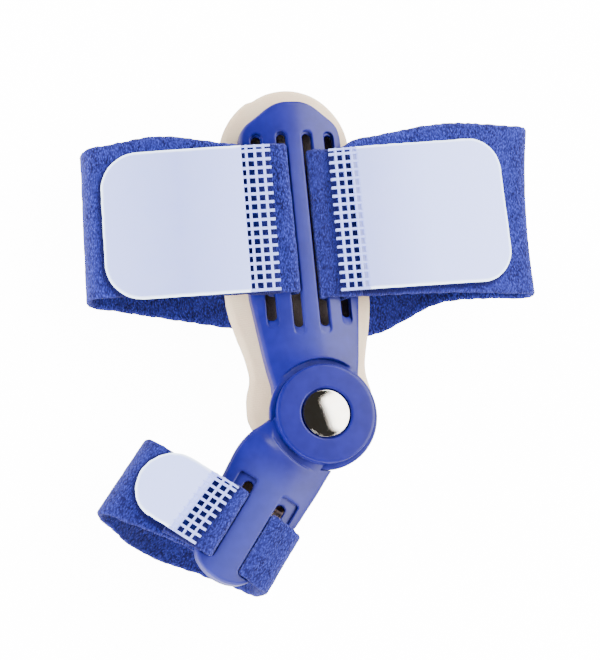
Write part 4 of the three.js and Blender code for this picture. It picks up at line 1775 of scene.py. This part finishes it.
class Strap(Piece):
    """A loop-pile strap and the loops that stand on both of its faces."""

    step = 0.8
    columns = 64
    look = WeaveLook(seed=3)
    density = 0.3
    spin = 0.0

    def rows(self) -> list[RunRow]:
        """The whole run."""
        raise NotImplementedError

    def tabs(self) -> list["TabShape"]:
        """The hook tabs that lie on the strap."""
        raise NotImplementedError

    def pressed(self, points: Array) -> Array:
        """How dark the strap is painted and how far its loops are thinned: a painted shadow in a
        line round each tab, where the pile is also crushed, and painted shade under its grid.

        Args:
            points: Points of the strap.

        Returns:
            A mask from 0 to 1.
        """
        mask = np.zeros(len(points))
        for shape in self.tabs():
            # painted shadow in a line round the tab, where the loops are also thinned
            line = reach_to(points, shape.outline())
            mask = np.maximum(mask, np.clip(1.6 - line / 0.9, 0, 1))
            # painted shade under the grid, with fewer loops there
            holes = reach_to(points, shape.under_grid())
            mask = np.maximum(mask, 0.8 * np.clip(2 - holes, 0, 1))
        return mask

    def pile(self, surface: Surface, pressed: Array) -> bpy.types.Object:
        """The loops, scattered over the strap's faces by Geometry Nodes.

        Args:
            surface: The strap's mesh.
            pressed: Where the loops are thinned and painted shade and shadow are laid.

        Returns:
            The loops.
        """
        turn = np.linspace(0.2, np.pi - 0.2, 3)
        arch = np.stack([0.45 * np.cos(turn), 0 * turn, 0.34 * np.sin(turn)], 1)
        shape = tube(arch, 0.1, 3)
        loop = write_object(f"{self.name}_one_loop", shape, ORIGIN)
        # painted highlight: the mask grows toward each loop's top, where the finish lightens it
        add_mask(loop, "loop", 0.35 + 2 * shape.points[:, 2])
        made = write_object(f"{self.name}_pile", surface, self.place)
        add_mask(made, "pressed", pressed)
        pile_tree().run(
            made,
            {
                "Density": self.density / MM**2,
                "Seed": self.look.seed,
                "Loop": loop,
                "Lean": 0.5,
                "Material": self.finishes.made[self.slot],
            },
        )
        bpy.data.objects.remove(loop)
        return made

    def build(self) -> bpy.types.Object:
        """The finished piece.

        Returns:
            Its object.
        """
        path = StrapPath(self.rows(), self.step)
        flat = strap_surface(path, STRAP.thickness, self.look, self.columns)
        surface = flat.turned(self.spin)
        made = write_object(self.name, surface, self.place)
        pressed = self.pressed(flat.points)
        add_mask(made, "pressed", pressed)
        self.settle(made)
        self.carry(self.pile(surface, pressed))
        return made


class FootStrap(Strap):
    """The wide strap: both ends through the plate's slots, both folds and the rear layer."""

    @staticmethod
    def slot_rows(side: int, middle: float) -> list[RunRow]:
        """Rows from a strap end on its own front layer, through both slots, and off the plate.

        Args:
            side: -1 for the left end, 1 for the right.
            middle: The strap's middle line.

        Returns:
            The rows.
        """
        lie = STRAP.thickness / 2 + CLEARANCE
        layer = STRAP.thickness + CLEARANCE
        rail = PLATE.slot_outer + PLATE.slot_width / 2
        near = PLATE.slot_inner + PLATE.slot_width / 2
        far = PLATE.slot_outer - PLATE.slot_width / 2
        back = 17.7

        def sag(offset: float) -> float:
            """How far the plate's face falls off from its crown."""
            return PLATE.crown_radius - math.sqrt(PLATE.crown_radius**2 - offset**2)

        rail_lie = -sag(rail) + lie + CLEARANCE

        def row(offset: float, up: float, bend: float) -> RunRow:
            """One row, mirrored by the side."""
            return RunRow(PLATE.offset + side * offset, up, bend, middle, 1.01 * STRAP.foot_width)

        return [
            row(back, rail_lie + layer - 0.15 * (back - rail), 2),
            row(rail + 0.4, rail_lie + layer + CLEARANCE / 2, 4),
            row(far - 0.6, -sag(far) + lie + 2 * CLEARANCE, 4),
            row(PLATE.slot_inner + side * 0.8 - 0.8, -sag(near) + lie + CLEARANCE, 1.8),
            row(PLATE.slot_inner, -sag(near) - PLATE.wall - lie + CLEARANCE, 1.7),
            row(PLATE.slot_outer, -sag(far) - PLATE.wall - lie - 2 * CLEARANCE, 1.4),
            row(PLATE.slot_outer, rail_lie, 1.4),
        ]

    def tabs(self) -> list["TabShape"]:
        """The hook tabs that lie on the strap."""
        return [LEFT_TAB, RIGHT_TAB]

    def pressed(self, points: Array) -> Array:
        """Also the right end where it lies over the plate, painted darker and with fewer loops:
        painted shade for a flap that faces away from the light.

        Args:
            points: Points of the strap.

        Returns:
            A mask from 0 to 1.
        """
        across, _, up = points.T - np.array([[PLATE.offset], [0], [0]])
        # painted shade on the right flap over the plate
        flap_shade = 0.42 * np.clip(across - 3.4, 0, 1) * np.clip(13 - across, 0, 1) * (up > -2.5)
        return np.maximum(super().pressed(points), flap_shade)

    def rows(self) -> list[RunRow]:
        """The whole run, left end to right end.

        Returns:
            The rows.
        """
        sizes = (STRAP.foot_left, STRAP.foot_right, PLATE.length, STRAP.foot_width)
        middle = loop_rows(FOOT_LOOP, *sizes)
        right = self.slot_rows(1, 0.589 * PLATE.length)[::-1]
        return [*self.slot_rows(-1, 0.61 * PLATE.length), *middle, *right]


class ToeStrap(Strap):
    """The narrow strap round the big toe, its ends through the arm's slots."""

    step = 0.5
    columns = 44
    look = WeaveLook(seed=5)
    density = 0.32
    spin = ARM.turn

    @staticmethod
    def slot_rows(side: int, drop: float, middle: float, width: float) -> list[RunRow]:
        """Rows through a slot of the arm, from the outer face to the inner one.

        Args:
            side: -1 for the left slot, 1 for the right.
            drop: How far down it goes.
            middle: Share of the arm's length.
            width: Share of the strap's width.

        Returns:
            The rows.
        """
        across = ARM.offset + side * (ARM.bar_width + ARM.slot_width) / 2
        at, wide = middle * ARM.length, width * STRAP.toe_width
        outer = RunRow(across - 0.95 * side, 0.75, 1.6, at, wide)
        return [outer, RunRow(across - 0.3 * side, -drop, 1.6, at, wide)]

    def tabs(self) -> list["TabShape"]:
        """The hook tab that lies on the strap."""
        return [TOE_TAB]

    def pressed(self, points: Array) -> Array:
        """The narrow strap's pile is lower all over, so more of its dark ground shows."""
        return np.maximum(super().pressed(points), 0.26)

    def rows(self) -> list[RunRow]:
        """The whole run, in the arm's frame.

        Returns:
            The rows.
        """
        sizes = (STRAP.toe_left, STRAP.toe_right, ARM.length, STRAP.toe_width)
        return [
            *loop_rows(TOE_END, *sizes),
            *self.slot_rows(-1, 5.4, -0.738, 1.0),
            *loop_rows(TOE_LOOP, *sizes),
            *self.slot_rows(1, 5.1, -0.752, 0.92),
            *loop_rows(TOE_INNER, *sizes),
        ]


# Geometry Nodes for what repeats


class RepeatTree:
    """A Geometry Nodes tree built here, with named inputs that a piece sets."""

    def __init__(self, name: str, inputs: Sequence[tuple[str, str, object]]) -> None:
        """An empty tree with its sockets.

        Args:
            name: The tree's name.
            inputs: Name, socket kind and start value of each input.
        """
        self.tree = bpy.data.node_groups.new(name, "GeometryNodeTree")
        self.ids: dict[str, str] = {}
        sockets = self.tree.interface
        sockets.new_socket("Geometry", in_out="INPUT", socket_type="NodeSocketGeometry")
        for label, kind, start in inputs:
            socket = sockets.new_socket(label, in_out="INPUT", socket_type=f"NodeSocket{kind}")
            if start is not None:
                socket.default_value = start
            self.ids[label] = socket.identifier
        sockets.new_socket("Geometry", in_out="OUTPUT", socket_type="NodeSocketGeometry")
        self.nodes = Nodes(self.tree)
        self.given = self.nodes.add("NodeGroupInput")
        self.out = self.nodes.add("NodeGroupOutput")

    def finish(self, geometry: bpy.types.NodeSocket, material: bpy.types.NodeSocket) -> None:
        """Ends the tree: instances made real, then their material.

        Args:
            geometry: What was made.
            material: Its material.
        """
        real = self.nodes.add("GeometryNodeRealizeInstances", in_0=geometry)
        named = self.nodes.add("GeometryNodeSetMaterial", in_Geometry=real.outputs[0])
        self.nodes.put(named.inputs["Material"], material)
        self.nodes.put(self.out.inputs[0], named.outputs[0])

    def run(self, made: bpy.types.Object, values: dict[str, object]) -> None:
        """Runs the tree on an object and keeps its result as a plain mesh.

        Args:
            made: The object.
            values: Values of the named inputs.
        """
        modifier = made.modifiers.new(self.tree.name, "NODES")
        modifier.node_group = self.tree
        for label, value in values.items():
            modifier[self.ids[label]] = value
        bpy.context.view_layer.update()
        depsgraph = bpy.context.evaluated_depsgraph_get()
        result = bpy.data.meshes.new_from_object(made.evaluated_get(depsgraph))
        made.modifiers.remove(modifier)
        old = made.data
        made.data = result
        result.name = made.name
        bpy.data.meshes.remove(old)


def grid_tree() -> RepeatTree:
    """A pierced grid: one bar repeated up the rows and one repeated along the columns.

    Returns:
        The tree.
    """
    tree = RepeatTree(
        "pierced_grid",
        [
            ("Row Pitch", "Float", 2.9 * MM),
            ("Column Pitch", "Float", 2.8 * MM),
            ("Columns", "Int", 3),
            ("Rows", "Int", 17),
            ("Row Bar", "Object", None),
            ("Column Bar", "Object", None),
            ("Material", "Material", None),
        ],
    )
    nodes, given = tree.nodes, tree.given.outputs
    joined = nodes.add("GeometryNodeJoinGeometry")
    for axis, count, bar, pitch in (
        (1, "Rows", "Row Bar", "Row Pitch"),
        (0, "Columns", "Column Bar", "Column Pitch"),
    ):
        offset = nodes.add("ShaderNodeCombineXYZ")
        nodes.put(offset.inputs[axis], given[pitch])
        line = nodes.add("GeometryNodeMeshLine")
        nodes.fill(line, Count=given[count], Offset=offset.outputs[0])
        info = nodes.add("GeometryNodeObjectInfo", transform_space="ORIGINAL")
        nodes.put(info.inputs[0], given[bar])
        spread = nodes.add("GeometryNodeInstanceOnPoints")
        nodes.fill(spread, Points=line.outputs[0], Instance=info.outputs["Geometry"])
        nodes.put(joined.inputs[0], spread.outputs[0])
    tree.finish(joined.outputs[0], given["Material"])
    return tree


def pile_tree() -> RepeatTree:
    """Small bent loops scattered over a strap's faces, each leaning its own way.

    Returns:
        The tree.
    """
    tree = RepeatTree(
        "loop_scatter",
        [
            ("Density", "Float", 400000.0),
            ("Seed", "Int", 4),
            ("Loop", "Object", None),
            ("Lean", "Float", 1.0),
            ("Material", "Material", None),
        ],
    )
    nodes, given = tree.nodes, tree.given.outputs
    flat = nodes.add("GeometryNodeInputNamedAttribute", data_type="FLOAT", in_Name="pressed")
    standing = nodes.math("SUBTRACT", 1.0, flat.outputs[0], clamp=True)
    density = nodes.math("MULTIPLY", given["Density"], standing)
    spots = nodes.add("GeometryNodeDistributePointsOnFaces")
    nodes.fill(spots, Mesh=given["Geometry"], Density=density, Seed=given["Seed"])
    info = nodes.add("GeometryNodeObjectInfo", transform_space="ORIGINAL")
    nodes.put(info.inputs[0], given["Loop"])
    less = nodes.math("MULTIPLY", given["Lean"], -1.0)
    ends = []
    for value in (less, given["Lean"]):
        end = nodes.add("ShaderNodeCombineXYZ")
        for socket in end.inputs:
            nodes.put(socket, value)
        ends.append(end.outputs[0])
    lean = nodes.add("FunctionNodeRandomValue", data_type="FLOAT_VECTOR")
    size = nodes.add("FunctionNodeRandomValue", data_type="FLOAT")
    for node, first, (least, most) in ((lean, 0, ends), (size, 2, (0.7, 1.3))):
        nodes.put(node.inputs[first], least)
        nodes.put(node.inputs[first + 1], most)
        nodes.put(node.inputs["Seed"], given["Seed"])
    turned = nodes.add("FunctionNodeRotateRotation", rotation_space="LOCAL")
    nodes.put(turned.inputs[0], spots.outputs["Rotation"])
    nodes.put(turned.inputs[1], lean.outputs[0])
    spread = nodes.add("GeometryNodeInstanceOnPoints")
    nodes.fill(
        spread,
        Points=spots.outputs["Points"],
        Instance=info.outputs["Geometry"],
        Rotation=turned.outputs[0],
        Scale=size.outputs[1],
    )
    tree.finish(spread.outputs[0], given["Material"])
    return tree


def tube(line: Array, radius: float, sides: int) -> Surface:
    """Closed tube round a line that lies in the XZ plane, closed at both ends.

    Args:
        line: Its middle line.
        radius: Its radius.
        sides: Its number of sides.

    Returns:
        The mesh.
    """
    tangent = np.gradient(line, axis=0)
    tangent /= np.linalg.norm(tangent, axis=1, keepdims=True)
    across = np.array([0.0, 1.0, 0.0])
    points = []
    for spot, along in zip(line, tangent):
        out = np.cross(across, along)
        for turn in np.linspace(0, 2 * np.pi, sides, endpoint=False):
            points.append(spot + radius * (math.cos(turn) * across + math.sin(turn) * out))
    faces: list[tuple[int, ...]] = [tuple(range(sides))]
    for k in range(len(line) - 1):
        for i in range(sides):
            j = (i + 1) % sides
            a, b = k * sides, (k + 1) * sides
            faces.append((a + j, a + i, b + i, b + j))
    last = (len(line) - 1) * sides
    faces.append(tuple(last + i for i in reversed(range(sides))))
    return Surface(np.array(points), faces)


def rod(low: float, high: float, width: float, height: float, bevel: float, along: int) -> Surface:
    """A straight bar with a chamfered section, along X for 0 or along Y for 1.

    Args:
        low, high: Its ends.
        width, height: Its section.
        bevel: Its chamfer.
        along: Its axis.

    Returns:
        The mesh.
    """
    half, rise = width / 2, height / 2
    section = [
        (half - bevel, -rise), (half, -rise + bevel), (half, rise - bevel), (half - bevel, rise),
        (-half + bevel, rise), (-half, rise - bevel),
        (-half, -rise + bevel), (-half + bevel, -rise),
    ]  # fmt: skip
    points = []
    for end in (low, high):
        for across, up in section:
            points.append((end, across, up) if along == 0 else (-across, end, up))
    faces: list[tuple[int, ...]] = [tuple(reversed(range(8))), tuple(range(8, 16))]
    for i in range(8):
        j = (i + 1) % 8
        faces.append((i, j, j + 8, i + 8))
    return Surface(np.array(points), faces)


def join_into(made: bpy.types.Object, others: Sequence[bpy.types.Object]) -> None:
    """Joins other objects into one, which keeps its name.

    Args:
        made: The object that stays.
        others: The objects that go into it.
    """
    for thing in bpy.context.selected_objects:
        thing.select_set(False)
    for thing in (made, *others):
        thing.select_set(True)
    bpy.context.view_layer.objects.active = made
    bpy.ops.object.join()


@dataclass(frozen=True)
class TabShape:
    """Sizes and place of one hook tab; lean slants its grid end and its far end."""

    length: float
    width: float
    corner: float
    rows: int
    side: int
    start: tuple[float, float, float]
    slope: float
    turn: float
    lean: tuple[float, float] = (0.0, 0.0)
    shift: float = 0.0
    fan: float = 0.0
    bow: float = 0.5
    ragged: float = 0.06
    pitch: float = 2.8
    bar: float = 0.9
    stub: float = 2.3
    narrow: float = 1.15
    columns: int = 3
    faded: bool = False
    # painted light at the tab's grid end, middle and far end
    milk: tuple[float, float, float] = (0.0, 0.3, 0.1)

    @property
    def row_pitch(self) -> float:
        """Distance between the rows, so that whole holes fill the width but for one part row."""
        return (self.width - self.bar) / (self.rows + 0.55)

    @property
    def last_bar(self) -> float:
        """Middle of the last bar that runs across the tab."""
        return self.stub + (self.columns - 1) * self.pitch

    @property
    def grid_end(self) -> float:
        """Where the closed sheet starts, after the last column of holes."""
        return self.last_bar + self.bar / 2 + self.narrow

    def placed(self, points: Array) -> Array:
        """Flat points laid along the strap end that the tab is welded to.

        Args:
            points: Points of the flat tab.

        Returns:
            Points about the hinge axis.
        """
        part = np.clip(points[:, 0] / self.length, 0, 1)
        x, y = points[:, 0], points[:, 1] * (1 + self.fan * (part - 0.6))
        z = points[:, 2] + self.bow * 4 * (part - part**2)
        c, s = math.cos(self.slope), math.sin(self.slope)
        out, up = x * c + z * s, -x * s + z * c
        angle = self.turn if self.side > 0 else math.pi - self.turn
        across = out * math.cos(angle) - y * math.sin(angle)
        along = out * math.sin(angle) + y * math.cos(angle)
        near, far = self.lean
        across += (near + (far - near) * part) * self.side * y + self.shift * (1 - part)
        return np.stack([across, along, up], 1) + np.array(self.start)

    def under_grid(self) -> Array:
        """Points all over the pierced grid, laid on the strap.

        Returns:
            The points.
        """
        half = self.width / 2
        along = np.arange(1.0, self.grid_end - 0.5, 1.4)
        x, y = np.meshgrid(along, np.linspace(1 - half, half - 1, 34))
        return self.placed(np.stack([x.ravel(), y.ravel(), 0 * x.ravel()], 1))

    def outline(self) -> Array:
        """Points along the tab's two sides and its round end, laid on the strap.

        Returns:
            The points.
        """
        half, bend = self.width / 2, self.length - self.corner
        turn = np.linspace(0, np.pi / 2, 24)
        straight = np.linspace(0, bend, 60)
        side = np.stack([straight, np.full(60, half)], 1)
        across = half - self.corner * (1 - np.cos(turn))
        corner = np.stack([bend + self.corner * np.sin(turn), across], 1)
        low = half - self.corner
        end = np.stack([np.full(30, self.length), np.linspace(-low, low, 30)], 1)
        upper = np.concatenate([side, corner])
        flat = np.concatenate([upper, upper * (1, -1), end])
        return self.placed(np.concatenate([flat, np.zeros((len(flat), 1))], 1))


LEFT_TAB = TabShape(
    56.3, 49.5, 12.5, 16, -1, (PLATE.offset - 9.9, 65.4, 3.33), 0.215, 0.024, (-0.008, -0.004),
    milk=(0.55, 0.05, 0.5),
)  # fmt: skip
RIGHT_TAB = TabShape(
    62.5, 49.8, 11.5, 16, 1, (PLATE.offset + 9.9, 63.9, 2.53), 0.09, 0.057, (0.067, 0.05),
    shift=0.32, fan=0.04, narrow=1.3, faded=True, milk=(0.0, 0.8, 1.0),
)  # fmt: skip
TOE_TAB = TabShape(
    28.6, 23.0, 11.5, 8, -1, (ARM.offset - 10.8, -47.5, 1.75), 0.37, 0.06, (0.05, 0.0),
    shift=0.5, bow=0.3, ragged=0.15, narrow=1.4, faded=True, bar=0.8, milk=(0.9, 0.9, 0.9),
)  # fmt: skip


@dataclass
class HookTab(Piece):
    """A hook tab: a milky sheet with round corners and a pierced grid at its welded end."""

    shape: TabShape | None = None
    spin: float = 0.0
    step: float = 0.4
    bevel: float = 0.24
    rim_width: float = 0.5

    def edge(self, x: Array, y: Array) -> Array:
        """Distance in plan to the tab's outline.

        Args:
            x, y: Places across and along.

        Returns:
            One distance for each place.
        """
        shape = self.shape
        bend = shape.length - shape.corner
        dx, dy = x - bend, np.abs(y) - (shape.width / 2 - shape.corner)
        far = np.hypot(np.maximum(dx, 0), np.maximum(dy, 0)) + np.minimum(np.maximum(dx, dy), 0)
        plan = np.where(x > bend, far - shape.corner, np.abs(y) - shape.width / 2)
        flat = np.stack([x, y, np.zeros_like(x)], 1)
        return plan + shape.ragged * ValueNoise(11)(flat, 1.7)

    def sheet(self) -> Surface:
        """The closed part of the tab, laid flat, from the end of its grid on.

        Returns:
            The mesh.
        """
        shape = self.shape
        half = shape.width / 2

        def solid(points: Array) -> Array:
            """Distance to the piece.

            Args:
                points: Places in millimetres.

            Returns:
                One distance for each point.
            """
            x, y, z = points.T
            plan = self.edge(x, y)
            full = both(np.maximum(plan, shape.grid_end - x), np.abs(z) - 0.5, 0.32)
            if not shape.faded:
                return full
            film = np.maximum(plan, shape.last_bar - x)
            film = np.maximum(film, np.maximum(x - shape.grid_end - 1, np.abs(z + 0.2) - 0.2))
            return np.minimum(full, film)

        low = shape.last_bar if shape.faded else shape.grid_end
        return surface_of(
            solid, (low - 1, -half - 1, -1), (shape.length + 1, half + 1, 1), self.step
        )

    def grid(self) -> bpy.types.Object:
        """The pierced grid, its bars repeated by Geometry Nodes.

        Returns:
            The object, laid flat.
        """
        shape = self.shape
        half = shape.width / 2
        first = shape.side * -(half - shape.bar / 2)
        last = shape.grid_end + 0.5
        row = rod(0.0, last, shape.bar, 0.98, self.bevel, 0)
        column = rod(-half, half, shape.bar * 0.95, 0.9, self.bevel, 1)
        edge = rod(0.0, last, shape.bar * 0.8, 0.96, self.bevel, 0)
        row.points += (0, first, 0)
        column.points += (shape.stub, 0, 0)
        edge.points += (0, -first, 0)
        objects = [
            write_object(f"{self.name}_bar_{i}", bar, ORIGIN, False)
            for i, bar in enumerate((row, column))
        ]
        made = write_object(self.name, Surface(np.zeros((1, 3)), []), ORIGIN)
        grid_tree().run(
            made,
            {
                "Row Pitch": math.copysign(shape.row_pitch, -first) * MM,
                "Column Pitch": shape.pitch * MM,
                "Columns": shape.columns,
                "Rows": shape.rows + 1,
                "Row Bar": objects[0],
                "Column Bar": objects[1],
                "Material": self.finishes.made[self.slot],
            },
        )
        for thing in objects:
            bpy.data.objects.remove(thing)
        join_into(made, [write_object(f"{self.name}_edge", edge, ORIGIN, False)])
        return made

    def build(self) -> bpy.types.Object:
        """The finished piece.

        Returns:
            Its object.
        """
        made = self.grid()
        sheet = self.sheet()
        closed = write_object(f"{self.name}_sheet", sheet, ORIGIN)
        along = sheet.points[:, 0]
        # painted highlight in a thin band inside the sheet's edge
        rim = 1.8 + self.edge(along, sheet.points[:, 1]) / self.rim_width
        # painted light along the tab, from the shape's three values
        milk = np.interp(along / self.shape.length, (0.2, 0.55, 1.0), self.shape.milk)
        add_mask(closed, "rim", rim * (along > self.shape.grid_end))
        add_mask(closed, "thin", self.shape.grid_end + 0.1 - along)
        add_mask(closed, "milk", milk)
        join_into(made, [closed])
        flat = np.empty(len(made.data.vertices) * 3, np.float32)
        made.data.vertices.foreach_get("co", flat)
        laid = Surface(self.shape.placed(flat.reshape(-1, 3) / MM), []).turned(self.spin)
        points = laid.points * MM + np.array(self.place)
        made.data.vertices.foreach_set("co", points.astype(np.float32).ravel())
        made.data.update()
        return self.settle(made)


@dataclass
class Studio:
    """Camera, lights and floor, set as the photo was taken."""

    place: Vector
    scale: float = 0.322
    distance: float = 600.0
    roll: float = math.radians(5.7)
    lean_left: float = math.radians(14)
    lean_toe: float = math.radians(12)
    picture: tuple[float, float] = (600, 660)
    hinge_at: tuple[float, float] = (326, 413.5)
    sensor: float = 36
    floor_reach: float = 3.0
    floor_level: float = -0.0002

    def build(self) -> None:
        """Adds them all to the scene."""
        self._camera()
        self._lights()
        self._floor()

    def _camera(self) -> None:
        """The camera, set so that the rivet is where the photo has it."""
        toward = Vector((-math.tan(self.lean_left), -math.tan(self.lean_toe), 1)).normalized()
        up = Vector((math.sin(self.roll), math.cos(self.roll), 0))
        up = (up - up.dot(toward) * toward).normalized()
        right = up.cross(toward)
        across, down = (at - whole / 2 for at, whole in zip(self.hinge_at, self.picture))
        shift = across * self.scale * right - down * self.scale * up
        position = self.place + (toward * self.distance - shift) * MM
        data = bpy.data.cameras.new("camera")
        data.sensor_width = self.sensor
        data.sensor_fit = "HORIZONTAL"
        data.lens = self.distance / self.scale / self.picture[0] * self.sensor
        data.clip_end = 10
        camera = bpy.data.objects.new("camera", data)
        turn = Matrix((right, up, toward)).transposed().to_4x4()
        camera.matrix_world = Matrix.Translation(position) @ turn
        bpy.context.scene.collection.objects.link(camera)
        bpy.context.scene.camera = camera

    def _lights(self) -> None:
        """The world's even light, a softbox and three fills."""
        world = bpy.data.worlds.new("studio")
        world.use_nodes = True
        back = world.node_tree.nodes["Background"]
        back.inputs["Color"].default_value = (1.0, 0.95, 0.9, 1.0)
        nodes = Nodes(world.node_tree)
        mirrored = nodes.add("ShaderNodeLightPath").outputs["Is Glossy Ray"]
        nodes.put(back.inputs["Strength"], nodes.math("MULTIPLY_ADD", mirrored, -0.2, 0.24))
        bpy.context.scene.world = world
        self._area("softbox", (0.96, 0.24, 0.72), (1.9, 1.35), 68.0)
        self._area("left_fill", (-1.0, -0.3, 0.27), (1.3, 0.3), 28.0, mirrored=False)
        self._area("toe_fill", (-0.2, -1.0, 0.36), (1.2, 0.3), 14.0)
        self._area("heel_fill", (-0.5, 1.0, 0.38), (1.2, 0.3), 15.0, mirrored=False)

    def _area(
        self,
        name: str,
        position: tuple[float, float, float],
        size: tuple[float, float],
        power: float,
        mirrored: bool = True,
    ) -> None:
        """Adds a lamp that points at the middle of the splint.

        Args:
            name: Its name.
            position: Its place in metres.
            size: Its two sides.
            power: Its power in watts.
            mirrored: Whether shiny faces show it.
        """
        data = bpy.data.lights.new(name, "AREA")
        data.shape = "RECTANGLE"
        data.size, data.size_y = size
        data.energy = power
        lamp = bpy.data.objects.new(name, data)
        lamp.location = Vector(position)
        lamp.visible_glossy = mirrored
        lamp.rotation_euler = (-Vector(position)).to_track_quat("-Z", "Y").to_euler()
        bpy.context.scene.collection.objects.link(lamp)

    def _floor(self) -> None:
        """The pale floor, which glows for the camera alone."""
        mesh = bpy.data.meshes.new("floor")
        reach, level = self.floor_reach, self.floor_level
        corners = [(x * reach, y * reach, level) for x, y in ((-1, -1), (1, -1), (1, 1), (-1, 1))]
        mesh.from_pydata(corners, [], [(0, 1, 2, 3)])
        floor = bpy.data.objects.new("floor", mesh)
        bpy.context.scene.collection.objects.link(floor)
        material = bpy.data.materials.new("pale_floor")
        material.use_nodes = True
        shader = material.node_tree.nodes["Principled BSDF"]
        shader.inputs["Base Color"].default_value = (0.9, 0.9, 0.9, 1.0)
        shader.inputs["Roughness"].default_value = 0.9
        nodes = Nodes(material.node_tree)
        seen = nodes.add("ShaderNodeLightPath").outputs["Is Camera Ray"]
        nodes.put(shader.inputs["Emission Strength"], nodes.math("MULTIPLY", seen, 13.0))
        mesh.materials.append(material)


def main() -> None:
    """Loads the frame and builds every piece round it."""
    logging.basicConfig(level=logging.INFO, format="%(message)s")
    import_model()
    low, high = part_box("hinge_rivet")
    place = Vector(((low.x + high.x) / 2, (low.y + high.y) / 2, high.z - HINGE.cap_over_crown * MM))
    LOG.info("hinge at %s", tuple(round(v, 5) for v in place))
    finishes = Finishes()
    foot, toe = Body.FOOT, Body.TOE
    pieces: tuple[tuple[type[Piece], str, Body, Slot, str, tuple[object, ...]], ...] = (
        (FootPlate, "plate_shell", foot, Slot.PLASTIC, "foot_plate", ()),
        (ToeArm, "toe_arm_shell", toe, Slot.PLASTIC, "toe_arm", ()),
        (FootPad, "foot_foam_pad", foot, Slot.PAD, "foot_pad", ()),
        (ToePad, "toe_liner", toe, Slot.PAD, "toe_pad", ()),
        (HingeRivet, "rivet", foot, Slot.RIVET, "hinge_rivet", ()),
        (FootStrap, "foot_loop_strap", foot, Slot.FABRIC, "foot_strap", ()),
        (ToeStrap, "toe_loop_strap", toe, Slot.FABRIC, "toe_strap", ()),
        (HookTab, "left_hook_tab", foot, Slot.TAB, "foot_tab_left", (LEFT_TAB,)),
        (HookTab, "right_hook_tab", foot, Slot.TAB, "foot_tab_right", (RIGHT_TAB,)),
        (HookTab, "toe_hook_tab", toe, Slot.TAB, "toe_tab", (TOE_TAB, ARM.turn)),
    )
    for kind, name, body, slot, node, more in pieces:
        kind(name, body, slot, place, finishes, (node,), *more).build()
    Studio(place).build()


if __name__ == "__main__":
    main()
